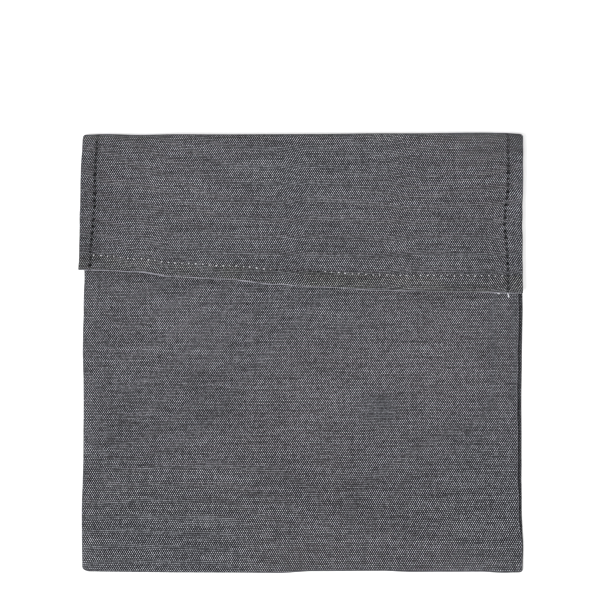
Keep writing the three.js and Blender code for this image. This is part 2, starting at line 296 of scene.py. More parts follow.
@dataclass(frozen=True)
class BagShape:
    """Where the folded bag's layers lie, as heights and outlines over the flat plan."""

    width: float = 250.0
    top: float = 124.3
    bottom: float = -124.4
    cloth: float = 0.5
    side_height: float = 2.8
    crown: float = 2.2
    crown_reach: float = 46.0
    mouth_lift: float = 20.0
    mouth_drop: float = 12.0
    seam_width: float = 9.5
    seam_gap: float = 0.1
    hem_radius: float = 0.7
    layer_gap: float = 0.15
    flap_float: float = 0.35
    stitch_inset: float = 8.3
    stitch_pitch_side: float = 3.68
    stitch_pitch_hem: float = 3.86
    left_stray: float = 1.7
    left_stray_step: Step = Step(-84.0, 28.0)
    right_more: float = 0.2
    right_stray: Band = Band(1.5, 74.0, 14.0)
    ripple_rise: float = 0.045
    ripple_pitch: float = 5.1
    ripple_bow: float = 9.0
    ripple_span: float = 110.0
    ripple_stray: Noise = Noise(1.5, 60.0, 20.0, 21)
    ripple_fade_y: Band = Band(1.0, 2.0, 42.0)
    ripple_fade_x: Band = Band(1.0, 5.0, 85.0)
    fold_step: Step = Step(3.0, 12.0)
    seam_step: Step = Step(1.5, 6.0)
    seam_trough: Band = Band(-0.22, 11.0, 2.6)
    trough_stray: Noise = Noise(0.5, 18.0, 90.0, 24)
    seam_pucker: Band = Band(0.10, 4.0, 6.0)
    seam_puckers: Noise = Noise(1.0, 40.0, 3.4, 25)
    hem_step: Step = Step(-0.4, 3.4)
    flap_swell: float = 0.6
    top_clear: float = 4.0
    relief_fade: float = 12.0
    wave_fade: float = 8.0
    side_furrow: Furrow = Furrow(0.9, 0.16, 0.14, 0.06, 2.0, 2.2)
    hem_furrow: Furrow = Furrow(0.8, 0.14, 0.14, 0.05, -2.0, 2.4)
    over_hem_step: Step = Step(-0.5, 1.0)
    in_side_step: Step = Step(1.0, 3.0)
    edge_wave: Band = Band(0.10, 0.0, 9.0)
    edge_waves: Noise = Noise(1.0, 5.0, 30.0, 33)
    side_wave: Band = Band(0.10, 0.0, 8.0)
    side_waves: Noise = Noise(1.0, 30.0, 5.0, 34)
    corner_bottom_left: float = 3.0
    corner_bottom_right: float = 0.8
    corner_top_left: float = 1.4
    corner_top_right: float = 2.0

    def bottom_fold(self, x: Array) -> Array:
        """Returns y of the bottom fold's outermost line at x."""
        return self.bottom - along(CROSS_ROWS, "x", "bottom", x)

    def top_fold(self, x: Array) -> Array:
        """Returns y of the top fold's outermost line at x."""
        return self.top + along(CROSS_ROWS, "x", "top", x)

    def flap_edge(self, x: Array) -> Array:
        """Returns y of the flap's hemmed edge at x, with a slight unevenness of its own."""
        return self.top - along(CROSS_ROWS, "x", "depth", x) + FLAP_EDGE_WAVE.at(x, 0 * x)

    def mouth_edge(self, x: Array) -> Array:
        """Returns y of the pouch's mouth at x, under the flap."""
        return self.top_fold(x) - self.mouth_drop

    def hem_width(self, x: Array) -> Array:
        """Returns the width of the flap's lower hem, from its edge to its stitches."""
        return along(CROSS_ROWS, "x", "hem", x)

    def side_inset(self, x: Array, y: Array) -> Array:
        """Returns how far the side stitches lie in from the flap's nearer outline."""
        left = self.stitch_inset - self.left_stray * self.left_stray_step.at(-y)
        return np.where(x < 0, left, self.stitch_inset + self.right_more + self.right_stray.at(y))

    def pouch_sides(self, y: Array) -> tuple[Array, Array]:
        """Outline of the pouch's two long sides.

        Args:
            y: place up the bag.

        Returns:
            x of the left and of the right side: half the width and the table's bulge, less the
            rounded bottom corners, with a slight wave.
        """
        left = -self.width / 2 - along(POUCH_ROWS, "y", "left", y)
        right = self.width / 2 + along(POUCH_ROWS, "y", "right", y)
        left = left + corner_inset(self.corner_bottom_left, y - self.bottom_fold(left))
        right = right - corner_inset(self.corner_bottom_right, y - self.bottom_fold(right))
        return left + POUCH_WAVES[0].at(y, 0 * y), right + POUCH_WAVES[1].at(y, 0 * y)

    def flap_sides(self, y: Array) -> tuple[Array, Array]:
        """Outline of the flap's two long sides.

        Args:
            y: place up the bag.

        Returns:
            x of the left and of the right side: half the width and the table's bulge, less the
            rounded top corners, with a slight wave.
        """
        left = -self.width / 2 - along(FLAP_ROWS, "y", "left", y)
        right = self.width / 2 + along(FLAP_ROWS, "y", "right", y)
        left = left + corner_inset(self.corner_top_left, self.top_fold(left) - y)
        right = right - corner_inset(self.corner_top_right, self.top_fold(right) - y)
        return left + FLAP_WAVES[0].at(y, 0 * y), right + FLAP_WAVES[1].at(y, 0 * y)

    def pouch_outline(self, y: Array) -> tuple[Array, Array]:
        """Returns the pouch's left side beside the first column of y and right side by the last."""
        return self.pouch_sides(y[:, 0])[0], self.pouch_sides(y[:, -1])[1]

    def flap_outline(self, y: Array) -> tuple[Array, Array]:
        """Returns the flap's left side beside the first column of y and right side by the last."""
        return self.flap_sides(y[:, 0])[0], self.flap_sides(y[:, -1])[1]

    def front_height(self, x: Array, y: Array) -> Array:
        """Height of the front's outer face.

        Args:
            x: place across the bag.
            y: place up the bag.

        Returns:
            The side height, plus a crown that eases in from the side seams and the bottom fold,
            plus ripples and puckers.
        """
        from_seam = self.width / 2 - np.abs(x) - self.seam_width
        from_fold = np.minimum(y - self.bottom, self.top + self.mouth_lift - y)
        lift = ease(from_seam / self.crown_reach) * ease(from_fold / self.crown_reach)
        crown = self.crown + swelling(FRONT_SWELLS, x, y)
        return self.side_height + lift * crown + self.front_ripples(x, y)

    def front_ripples(self, x: Array, y: Array) -> Array:
        """Fine relief of the front: bowed ripples under the flap, a trough beside each seam.

        Args:
            x: place across the bag.
            y: place up the bag.

        Returns:
            Bowed ripples cos(2 pi (y + bow) / pitch), slightly astray, that fade down the front and
            towards its sides, random unevenness, and a trough and puckers beside both seams.
        """
        side = self.width / 2 - np.abs(x)
        inside = self.fold_step.at(y - self.bottom) * self.seam_step.at(side)
        bowed = y + self.ripple_bow * np.square(x / self.ripple_span)
        phase = 2 * np.pi * bowed / self.ripple_pitch + self.ripple_stray.at(x, y)
        fading = self.ripple_fade_y.at(y) * self.ripple_fade_x.at(x)
        ripples = self.ripple_rise * fading * np.cos(phase)
        uneven = unevenness(FRONT_UNEVEN, x, y)
        trough = self.seam_trough.at(side) * (1.0 + self.trough_stray.at(y, x))
        puckers = self.seam_pucker.at(side) * self.seam_puckers.at(x, y)
        return inside * (ripples + uneven + trough + puckers)

    def flap_height(self, x: Array, y: Array) -> Array:
        """Height of the flap's outer face.

        Args:
            x: place across the flap.
            y: place up the flap.

        Returns:
            The front's height, plus the hem's thickness within the hems or one layer and a
            little air between them, less the troughs that the stitches pull.
        """
        left, right = self.flap_sides(y)
        side = np.minimum(x - left, right - x)
        above = y - self.flap_edge(x)
        hem_width = self.hem_width(x)
        hem = np.maximum(
            1.0 - self.hem_step.at(side - self.side_inset(x, y)),
            1.0 - self.hem_step.at(above - hem_width),
        )
        base = self.front_height(np.clip(x, -self.width / 2, self.width / 2), y)
        rest = base + self.layer_gap + mix(self.cloth + self.flap_float, 2 * self.hem_radius, hem)
        swells = swelling(FLAP_SWELLS, x, y)
        uneven = unevenness(FLAP_UNEVEN, x, y)
        keep = ease((self.top - self.top_clear - y) / self.relief_fade)
        relief = self.stitch_relief(x, y, side, above, keep)
        return rest + keep * (1.0 - hem) * (self.flap_swell * swells + uneven) + relief

    def stitch_relief(self, x: Array, y: Array, side: Array, above: Array, keep: Array) -> Array:
        """Troughs and puckers along the flap's stitches.

        Args:
            x: place across the flap.
            y: place up the flap.
            side: distance from the nearer side of the flap.
            above: distance from the flap's edge.
            keep: fades the relief towards the top fold.

        Returns:
            A soft trough along each stitch line, deepest at the needle holes, and small
            puckers that run a few millimetres into the hems.
        """
        off_side = side - self.side_inset(x, y)
        off_hem = above - self.hem_width(x)
        beat_side = 0.5 + 0.5 * np.cos(2 * np.pi * y / self.stitch_pitch_side)
        beat_hem = 0.5 + 0.5 * np.cos(2 * np.pi * x / self.stitch_pitch_hem)
        side_line = self.over_hem_step.at(off_hem) * self.side_furrow.at(off_side, beat_side)
        hem_line = self.hem_furrow.at(off_hem, beat_hem)
        in_hem = self.in_side_step.at(side)
        below_fold = ease((self.top - self.top_clear - y) / self.wave_fade)
        waves = self.edge_wave.at(above) * self.edge_waves.at(x, y)
        waves = waves + self.side_wave.at(side) * self.side_waves.at(x, y) * below_fold
        return waves - keep * side_line - in_hem * hem_line


def swelling(swells: Sequence[Swell], x: Array, y: Array) -> Array:
    """Returns the sum of rise * exp(-(distance / reach)^2) over the swells."""
    return sum(s.rise * np.exp(-((x - s.x) ** 2 + (y - s.y) ** 2) / s.reach**2) for s in swells)


def unevenness(noises: Sequence[Noise], x: Array, y: Array) -> Array:
    """Returns the sum of the noises at a place."""
    return sum(noise.at(x, y) for noise in noises)


def corner_inset(radius: float, distance: Array) -> Array:
    """Returns how far a round corner draws a side in: r - sqrt(r^2 - (r - d)^2) within d < r."""
    reach = radius * (1.0 - np.clip(distance / radius, 0.0, 1.0))
    return radius - np.sqrt(np.maximum(radius**2 - reach**2, 0.0))


def soft_ramp(distance: Array, softness: float) -> Array:
    """Returns softness * log(1 + exp(distance / softness)): 0 before a place, a slope of 1 past it."""
    return softness * np.logaddexp(0.0, distance / softness)


@dataclass(frozen=True)
class YarnDrift:
    """How far the yarns wander from a true grid: slopes in millimetres of shift per millimetre."""

    flap_lean: float = 0.056
    flap_left: float = 0.028
    flap_from: float = -48.0
    hem_from: float = -110.0
    flap_open: float = -0.085
    arm_lean: float = 0.035
    arm_slope: float = 0.55
    wall_spread: float = 0.070
    wall_from: float = -102.0
    right_spread: float = 0.055
    right_from: float = 104.0
    low_lean: float = 0.066
    low_twist: float = 0.0011
    low_from: float = -62.0
    low_rise: float = 0.3
    low_open: float = -0.165
    step: float = 0.567
    hold: float = 0.85

    def warp(self, x: Array, y: Array, on_flap: Array) -> Array:
        """Sideways shift of the warp yarns.

        Args:
            x: place across the bag.
            y: place up the bag.
            on_flap: True on the flap.

        Returns:
            On the flap, a steady lean, less on the left. Elsewhere soft ramps: slanting ones on
            the upper left, outward ones along both sides, and below the middle one that turns
            from a lean one way on the left to a lean the other way on the right. Swells on both.
        """
        level = soft_ramp(self.flap_from - x, 6.0) - soft_ramp(self.hem_from - x, 3.0)
        flap = self.flap_lean * y - self.flap_left * level
        above = soft_ramp(y - self.low_from, 4.0)
        slant = self.arm_slope * (x + 33.0) * ease((y + 76.0) / 22.0) + 0.7 * soft_ramp(x + 60.0, 5.0)
        arms = -self.arm_lean * soft_ramp(above - 22.0 - slant, 6.0)
        wall = self.wall_spread * soft_ramp(self.wall_from - x, 3.0) * ease((y + 84.0) / 24.0)
        right = -self.right_spread * soft_ramp(x - self.right_from, 4.0)
        turn = self.low_lean - self.low_twist * (soft_ramp(x + 38.0, 6.0) - soft_ramp(x - 95.0, 6.0))
        low = turn * self.below(x, y)
        front = arms + wall + right + low + swelling(FRONT_DRIFTS, x, y)
        return self.settled(np.where(on_flap, flap + swelling(FLAP_DRIFTS, x, y), front))

    def settled(self, shift: Array) -> Array:
        """Returns the shift drawn towards whole steps: s - hold step sin(2 pi s / step) / (2 pi)."""
        return shift - self.hold * self.step / (2 * np.pi) * np.sin(2 * np.pi * shift / self.step)

    def below(self, x: Array, y: Array) -> Array:
        """Returns how far a place lies below the line under which the front's yarns drift more."""
        return soft_ramp(self.low_from + self.low_rise * soft_ramp(x - 20.0, 8.0) - y, 5.0)

    def weft(self, y: Array, on_flap: Array) -> Array:
        """Lengthwise shift of the weft yarns, which lie more openly on the flap and low down.

        Args:
            y: place up the bag.
            on_flap: True on the flap.

        Returns:
            A steady slope on the flap, and a soft ramp that grows downwards elsewhere.
        """
        low = self.low_open * soft_ramp(self.low_from + 8.0 - y, 9.0)
        return np.where(on_flap, -self.flap_open * y, low)


# ---------------------------------------------------------------------------------------------
# The strip of cloth
# ---------------------------------------------------------------------------------------------


RUN_IN = 0.3


@dataclass
class EdgeTurn:
    """How the strip's long edge turns inward beside each row. All fields are arrays over rows.

    radius is that of the turn, seam the arc length at which the cloth dives inward, lip how much
    of that dive there is (1 at a seam, 0 at a hem), drop the straight fall in the dive, and rest
    the length that runs on inside.
    """

    radius: Array
    seam: Array
    lip: Array
    drop: Array
    rest: Array

    def blend(self, other: "EdgeTurn", share: Array) -> "EdgeTurn":
        """Blends this turn with another.

        Args:
            other: the other turn, beside the same rows.
            share: how much of the other there is, row by row.

        Returns:
            A turn that is this one at share 0 and the other at share 1.
        """
        return EdgeTurn(
            mix(self.radius, other.radius, share),
            mix(self.seam, other.seam, share),
            mix(self.lip, other.lip, share),
            mix(self.drop, other.drop, share),
            mix(self.rest, other.rest, share),
        )

    def start(self) -> Array:
        """Returns the arc length, a run-in before the turn, at which the margin's columns start."""
        return np.minimum(self.seam, 0.0) - RUN_IN

    def profile(self, lip_radius: float, wrap: int, dive: int, inside: int) -> tuple[Array, Array]:
        """Traces the edge by following the heading of the cloth along its arc.

        Args:
            lip_radius: radius of the dive at a seam.
            wrap: columns from the margin's start to the seam.
            dive: columns over the dive.
            inside: columns over the rest.

        Returns:
            Two arrays, row by column: how far out each point lies from the tangent line, and how
            deep under the outer face. The heading turns by arc / radius up to half a turn, then by
            a quarter more at the lip, falls straight, then turns to face inward; out and depth
            are the sums of its cosine and sine along the arc.
        """
        rows = len(self.radius)
        first = self.start()
        quarter = 0.5 * np.pi * lip_radius
        knots = np.empty((rows, wrap + dive + inside + 1))
        knots[:, : wrap + 1] = mix(first[:, None], self.seam[:, None], np.linspace(0, 1, wrap + 1))
        reach = 2 * quarter + self.drop[:, None]
        knots[:, wrap : wrap + dive + 1] = self.seam[:, None] + reach * np.linspace(0, 1, dive + 1)
        ends = self.seam[:, None] + reach + self.rest[:, None] * np.linspace(0, 1, inside + 1)
        knots[:, wrap + dive :] = ends
        fine = 24
        shares = np.arange(fine) / fine + 0.5 / fine
        arcs = knots[:, :-1, None] + np.diff(knots, axis=1)[:, :, None] * shares
        steps = np.repeat(np.diff(knots, axis=1)[:, :, None] / fine, fine, axis=2)
        angle = np.clip(np.minimum(arcs, self.seam[:, None, None]) / self.radius[:, None, None], 0, np.pi)
        at_seam = np.clip(self.seam / self.radius, 0, np.pi)[:, None, None]
        past = np.clip(arcs - self.seam[:, None, None], 0.0, None)
        full = self.lip[:, None, None]
        up = np.clip(past / quarter, 0, 1) * full * 0.5 * np.pi
        fallen = (past - quarter - self.drop[:, None, None]) / quarter
        back = np.clip(fallen, 0, 1) * (np.pi - at_seam - full * 0.5 * np.pi)
        angle = angle + up + back
        out = np.cumsum((np.cos(angle) * steps).sum(axis=2), axis=1)
        deep = np.cumsum((np.sin(angle) * steps).sum(axis=2), axis=1)
        out = np.concatenate([np.zeros((rows, 1)), out], axis=1) + first[:, None]
        deep = np.concatenate([np.zeros((rows, 1)), deep], axis=1)
        return out, deep


class Side(Enum):
    """The two long sides of the bag, each as the sign of x there."""

    LEFT = -1.0
    RIGHT = 1.0

    @property
    def column(self) -> int:
        """Returns the grid's column that lies nearest this side."""
        return 0 if self is Side.LEFT else -1


class Zone(Enum):
    """The lengths of the strip, in order from the mouth hem to the flap's hem."""

    MOUTH_UNDER = 0
    MOUTH_TURN = 1
    FRONT = 2
    BOTTOM_FOLD = 3
    BACK = 4
    TOP_FOLD = 5
    FLAP = 6
    FLAP_TURN = 7
    FLAP_UNDER = 8


@dataclass
class LaidCloth:
    """A grid of points on laid cloth, with the place of each across the flat strip.

    zones holds the zone of each row once the zones are joined, and is None before.
    """

    points: Array
    across: Array
    zones: Optional[Array]


@dataclass
class ClothStrip:
    """The folded strip as one grid of points, rows along its length and columns across it."""

    shape: BagShape
    columns: int = 232
    wrap: int = 8
    dive: int = 6
    inside: int = 2
    column_inset: float = 1.4
    side_depth: float = 124.0
    fold_depth: float = 2.3
    front_length: float = 112.0
    front_shown: float = 56.0
    flap_length: float = 86.0
    mouth_radius: float = 0.6
    mouth_hem: float = 10.0
    mouth_inset: float = 1.2
    flap_hem: float = 8.0
    flap_inset: float = 0.5
    hidden_pitch: float = 3.2
    front_pitch: float = 1.25
    back_pitch: float = 4.2
    flap_pitch: float = 1.04
    lip_radius: float = 0.35
    small_radius: float = 0.3
    seam_inside: float = 4.0
    hem_inside: float = 7.0
    hem_end: float = 0.3
    hem_overrun: float = 0.2
    small_end: float = 0.2
    hem_rows: int = 4
    mouth_turn_rows: int = 6
    bottom_rows: int = 14
    top_rows: int = 16
    flap_turn_rows: int = 8
    under_groove: float = 2.1
    roll_full: float = 2.2
    rolled_radius: float = 0.42
    tucked: float = 0.5
    seam_air: float = 0.05

    def stations(self) -> list[tuple[Zone, Array]]:
        """Spaces the rows of every zone.

        Returns:
            Each zone, in order, with the shares at which its rows lie, from 0 to 1. Rows at the
            ends of a fold or turn are left to the zones beside it.
        """
        shape = self.shape
        hidden = self.front_length - self.front_shown
        shown = self.front_shown - shape.bottom
        front = np.concatenate([
            np.arange(0, hidden, self.hidden_pitch) / (hidden + shown),
            np.linspace(hidden, hidden + shown, round(shown / self.front_pitch)) / (hidden + shown),
        ])
        length = shape.top - shape.bottom
        return [
            (Zone.MOUTH_UNDER, np.linspace(0, 1, self.hem_rows)[:-1]),
            (Zone.MOUTH_TURN, np.linspace(0, 1, self.mouth_turn_rows)[:-1]),
            (Zone.FRONT, front),
            (Zone.BOTTOM_FOLD, np.linspace(0, 1, self.bottom_rows)[1:-1]),
            (Zone.BACK, np.linspace(0, 1, round(length / self.back_pitch))),
            (Zone.TOP_FOLD, np.linspace(0, 1, self.top_rows)[1:-1]),
            (Zone.FLAP, np.linspace(0, 1, round(self.flap_length / self.flap_pitch))),
            (Zone.FLAP_TURN, np.linspace(0, 1, self.flap_turn_rows)[1:]),
            (Zone.FLAP_UNDER, np.linspace(0, 1, self.hem_rows)[1:]),
        ]

    def groove(self, radius: Array, distance: Array) -> Array:
        """Arc length, from the far face, to a seam that lies a distance in from the outline.

        Args:
            radius: radius of the pouch's rounded side.
            distance: how far in from the outline the seam's groove shows.

        Returns:
            radius * (pi - asin(1 - distance / radius)) on the rounded side, and on past it.
        """
        share = np.clip(1.0 - distance / radius, 0.0, 1.0)
        return radius * (np.pi - np.arcsin(share)) + np.maximum(distance - radius, 0.0)

    def pouch_turn(self, y: Array, height: Array, over: Array, side: Side) -> EdgeTurn:
        """The turned edge of the pouch beside each row.

        Args:
            y: place of each row up the bag.
            height: thickness of the pouch's side there.
            over: 0 for the front's rows, 1 for the back's, and between on the bottom fold.
            side: which side. At the left the front wraps round to the back, and at the right
                the back wraps round to the front.

        Returns:
            A turn whose seam lies under the left side, or a roll's width in on the right side.
        """
        gap, lip = self.shape.seam_gap, self.lip_radius
        full = height / 2
        fall = np.zeros_like(y)
        if side is Side.LEFT:
            wrap = self.groove(full, self.under_groove + self.waver(y)) - lip - gap / 2
            short = np.pi * full - wrap - 2 * lip - gap
            seam = mix(wrap, short, over)
            radius = full
        else:
            roll = self.roll(y)
            rolled = ease(roll / self.roll_full)
            low = mix(full, self.rolled_radius, rolled)
            wrap = self.groove(low, roll + mix(-gap, self.tucked, rolled)) - lip
            short = np.pi * full - self.groove(full, roll) - lip
            seam = mix(short, wrap, over)
            radius = mix(full, low, over)
            fall = (1 - over) * rolled * np.maximum(2 * (full - low - lip) - self.seam_air, 0.0)
        return EdgeTurn(radius, seam, np.ones_like(y), fall, np.full_like(y, self.seam_inside))

    def pouch_turns(self, y: Array, over: Array) -> list[EdgeTurn]:
        """The turned edges of the front or the back.

        Args:
            y: place up the bag, row by column.
            over: 0 for the front's rows and 1 for the back's.

        Returns:
            The left and the right edge, as thick as the pouch is near its outline.
        """
        turns = []
        for side in Side:
            rows = y[:, side.column]
            thick = self.shape.front_height(np.full(len(y), side.value * self.side_depth), rows)
            turns.append(self.pouch_turn(rows, thick, over, side))
        return turns

    def waver(self, y: Array) -> Array:
        """Returns how far a side seam strays from its line beside each row."""
        return 0.2 * soft_noise(y, 0 * y, 9.0, 9.0, 41)

    def roll(self, y: Array) -> Array:
        """Returns how far in from the right outline the front's seamed edge lies."""
        return np.maximum(along(POUCH_ROWS, "y", "roll", y) + self.waver(y), 0.1)

    def hem_turn(self, y: Array, rest: Array) -> EdgeTurn:
        """Returns the turned edge of a hem beside each row, with its inner length."""
        radius = np.full_like(y, self.shape.hem_radius)
        return EdgeTurn(radius, np.pi * radius + self.hem_overrun, np.zeros_like(y), np.zeros_like(y), rest)

    def hem_turns(self, y: Array, rest: float) -> list[EdgeTurn]:
        """Returns the left and the right hem's turned edge, both with the same inner length."""
        return [self.hem_turn(y[:, side.column], np.full(len(y), rest)) for side in Side]

    def small_turns(self, y: Array) -> list[EdgeTurn]:
        """The tight edges of rows that lie out of sight under a hem.

        Args:
            y: place up the bag, row by column.

        Returns:
            The left and the right edge, which are alike.
        """
        radius = np.full(len(y), self.small_radius)
        none = np.zeros(len(y))
        turn = EdgeTurn(radius, np.pi * radius, none, none, np.full(len(y), self.small_end))
        return [turn, turn]

    def lay(self) -> LaidCloth:
        """Lays every zone of the strip.

        Returns:
            One grid of all their rows, in order.
        """
        stations = self.stations()
        parts = [self.lay_zone(zone, shares) for zone, shares in stations]
        points = np.concatenate([part.points for part in parts])
        across = np.concatenate([part.across for part in parts])
        rows = [len(part.points) for part in parts]
        return LaidCloth(points, across, np.repeat([zone.value for zone, _ in stations], rows))

    def lay_zone(self, zone: Zone, shares: Array) -> LaidCloth:
        """Lays one zone of the strip.

        Args:
            zone: which zone.
            shares: where its rows lie along it, from 0 to 1.

        Returns:
            Its grid of points, with the turned edges on both sides.
        """
        share = shares[:, None]
        reach = self.shape.width / 2 - self.column_inset
        near = np.linspace(-reach, reach, self.columns)[None, :] + 0 * share
        if zone is Zone.FRONT:
            return self.lay_front(share, near)
        if zone is Zone.BOTTOM_FOLD:
            return self.lay_bottom_fold(share, near)
        if zone is Zone.BACK:
            return self.lay_back(share, near)
        if zone is Zone.TOP_FOLD:
            return self.lay_top_fold(share, near)
        if zone is Zone.FLAP:
            return self.lay_flap(share, near)
        if zone in (Zone.FLAP_TURN, Zone.FLAP_UNDER):
            return self.lay_flap_hem(zone, share, near)
        return self.lay_mouth_hem(zone, share, near)

    def pouch_start(self, near: Array) -> Array:
        """Returns y at which the front and the back pass into the bottom fold."""
        shape = self.shape
        return shape.bottom_fold(near) + shape.front_height(near, shape.bottom + 0 * near) / 2

    def flap_start(self, near: Array) -> Array:
        """Returns y at which the back and the flap pass into the top fold."""
        top = self.shape.top_fold(near)
        return top - self.shape.flap_height(near, top - self.fold_depth) / 2

    def lay_front(self, share: Array, near: Array) -> LaidCloth:
        """Lays the front, from the mouth's turn to the bottom fold.

        Args:
            share: where the rows lie along the front, from 0 to 1.
            near: nominal place of each column across the bag.

        Returns:
            The front's outer face, with its seamed edges.
        """
        y = mix(self.shape.mouth_edge(near) - self.mouth_radius, self.pouch_start(near), share)
        turns = self.pouch_turns(y, np.zeros(len(y)))
        return self.close(y, self.shape.front_height, 0 * y, 1 + 0 * y, self.shape.pouch_outline(y), turns)

    def lay_mouth_hem(self, zone: Zone, share: Array, near: Array) -> LaidCloth:
        """Lays the hem that is turned under along the front's mouth.

        Args:
            zone: the hem's flat length or its turn.
            share: where the rows lie along it, from 0 to 1.
            near: nominal place of each column across the bag.

        Returns:
            The hem: flat under the front, then half a turn up to the mouth.
        """
        shape, radius = self.shape, self.mouth_radius
        mouth = shape.mouth_edge(near)
        angle = (1 - share) * np.pi if zone is Zone.MOUTH_TURN else np.pi + 0 * share
        back = (1 - share) * self.mouth_hem if zone is Zone.MOUTH_UNDER else 0 * share
        y = mouth - radius + radius * np.sin(angle) - back
        z = shape.front_height(near, mouth - radius - back) - radius * (1 - np.cos(angle))
        left, right = shape.pouch_outline(mouth)
        sides = (left + self.mouth_inset, right - self.mouth_inset)
        return self.close(y, z, np.sin(angle) + 0 * y, np.cos(angle) + 0 * y, sides, self.small_turns(y))

    def lay_bottom_fold(self, share: Array, near: Array) -> LaidCloth:
        """Lays the bottom fold, half a turn from the front round to the back.

        Args:
            share: where the rows lie along the fold, from 0 to 1.
            near: nominal place of each column across the bag.

        Returns:
            The fold, a half circle as high as the pouch is thick there.
        """
        shape = self.shape
        radius = shape.front_height(near, shape.bottom + 0 * near) / 2
        angle = share * np.pi
        y = shape.bottom_fold(near) + radius - radius * np.sin(angle)
        z = radius + radius * np.cos(angle)
        turns = []
        for side in Side:
            thick = 2 * radius[:, side.column]
            turns.append(self.pouch_turn(y[:, side.column], thick, share[:, 0], side))
        return self.close(y, z, -np.sin(angle) + 0 * y, np.cos(angle) + 0 * y, shape.pouch_outline(y), turns)

    def lay_back(self, share: Array, near: Array) -> LaidCloth:
        """Lays the back, whose sides change from seams to hems at the mouth's height.

        Args:
            share: where the rows lie along the back, from 0 to 1.
            near: nominal place of each column across the bag.

        Returns:
            The back, level with the floor apart from a few soft hollows.
        """
        shape = self.shape
        first, last = self.pouch_start(near), self.flap_start(near)
        y = mix(first, last, share)
        z = 0.25 * np.square(soft_noise(near, y, 30.0, 24.0, 51)) * ease((y - first) / 20)
        z = z * ease((last - y) / 20)
        z = z * ease((shape.width / 2 - np.abs(near) - 3.0) / 12.0)
        hems = self.hem_turns(y, self.hem_inside)
        turns = []
        for side, seam, hem in zip(Side, self.pouch_turns(y, np.ones(len(y))), hems):
            rise = ease((y - shape.mouth_edge(near) + 5.0) / 6.0)[:, side.column]
            turns.append(seam.blend(hem, rise))
        return self.close(y, z, 0 * y, -1 + 0 * y, shape.pouch_outline(y), turns)

    def lay_top_fold(self, share: Array, near: Array) -> LaidCloth:
        """Lays the top fold, half a turn from the back round to the flap.

        Args:
            share: where the rows lie along the fold, from 0 to 1.
            near: nominal place of each column across the bag.

        Returns:
            The fold, a half circle as high as the flap lies there.
        """
        shape = self.shape
        top = shape.top_fold(near)
        radius = shape.flap_height(near, top - self.fold_depth) / 2
        angle = share * np.pi
        y = top - radius + radius * np.sin(angle)
        z = radius - radius * np.cos(angle)
        over = (1 - np.cos(angle[:, 0])) / 2
        back, flap = shape.pouch_outline(y), shape.flap_outline(y)
        sides = (mix(back[0], flap[0], over), mix(back[1], flap[1], over))
        turns = self.hem_turns(y, self.hem_inside)
        return self.close(y, z, np.sin(angle) + 0 * y, -np.cos(angle) + 0 * y, sides, turns)

    def lay_flap(self, share: Array, near: Array) -> LaidCloth:
        """Lays the flap, from the top fold to the turn of its lower hem.

        Args:
            share: where the rows lie along the flap, from 0 to 1.
            near: nominal place of each column across the bag.

        Returns:
            The flap's outer face. Its side hems' inner lengths end where the lower hem begins.
        """
        shape = self.shape
        edge = shape.flap_edge(near)
        y = mix(self.flap_start(near), edge + shape.hem_radius, share)
        turns = []
        for side in Side:
            above = (y - edge)[:, side.column]
            inner = mix(self.hem_end, self.hem_inside, ease((above - 9.5) / 6.0))
            turns.append(self.hem_turn(y[:, side.column], inner))
        return self.close(y, shape.flap_height, 0 * y, 1 + 0 * y, shape.flap_outline(y), turns)

    def lay_flap_hem(self, zone: Zone, share: Array, near: Array) -> LaidCloth:
        """Lays the hem that is turned under along the flap's edge.

        Args:
            zone: the hem's turn or its flat length.
            share: where the rows lie along it, from 0 to 1.
            near: nominal place of each column across the bag.

        Returns:
            The hem: half a turn down from the flap, then flat under it.
        """
        shape, radius = self.shape, self.shape.hem_radius
        tangent = shape.flap_edge(near) + radius
        left, right = shape.flap_outline(tangent)
        if zone is Zone.FLAP_TURN:
            angle, back, inset = share * np.pi, 0 * share, 0.0
        else:
            angle, back, inset = np.pi + 0 * share, share * self.flap_hem, self.flap_inset
        y = tangent - radius * np.sin(angle) + back
        z = shape.flap_height(near, tangent + back) - radius * (1 - np.cos(angle))
        turns = self.hem_turns(y, self.hem_end) if zone is Zone.FLAP_TURN else self.small_turns(y)
        sides = (left + inset, right - inset)
        return self.close(y, z, -np.sin(angle) + 0 * y, np.cos(angle) + 0 * y, sides, turns)

    def close(
        self,
        y: Array,
        height: Array | Callable[[Array, Array], Array],
        normal_y: Array,
        normal_z: Array,
        sides: tuple[Array, Array],
        turns: Sequence[EdgeTurn],
    ) -> LaidCloth:
        """Places a zone's columns between its sides, and adds the turned edges.

        Args:
            y: place up the bag, row by column.
            height: height of each point, or a method that gives it for any x and y.
            normal_y: how far the outer side faces up the bag.
            normal_z: how far it faces up.
            sides: x of the left and of the right outline beside each row.
            turns: the turned edges, left and right.

        Returns:
            The grid, with margin columns in order: inside to outline, across, outline to inside.
        """
        first = sides[0] + turns[0].radius - turns[0].start()
        last = sides[1] - turns[1].radius + turns[1].start()
        x = mix(first[:, None], last[:, None], np.linspace(0, 1, self.columns)[None, :])
        z = height(x, y) if callable(height) else height
        grid, spans = [np.stack([x, y, z], axis=-1)], [x]
        for side, outline, turn in zip(Side, sides, turns):
            out, deep = turn.profile(self.lip_radius, self.wrap, self.dive, self.inside)
            out, deep = out[:, 1:], deep[:, 1:]
            tangent = outline - side.value * turn.radius
            margin = np.stack([
                tangent[:, None] + side.value * out,
                y[:, [side.column]] - deep * normal_y[:, [side.column]],
                z[:, [side.column]] - deep * normal_z[:, [side.column]],
            ], axis=-1)
            steps = np.hypot(np.diff(out, axis=1, prepend=turn.start()[:, None]),
                             np.diff(deep, axis=1, prepend=0.0))
            span = x[:, [side.column]] + side.value * np.cumsum(steps, axis=1)
            if side is Side.LEFT:
                grid.insert(0, margin[:, ::-1])
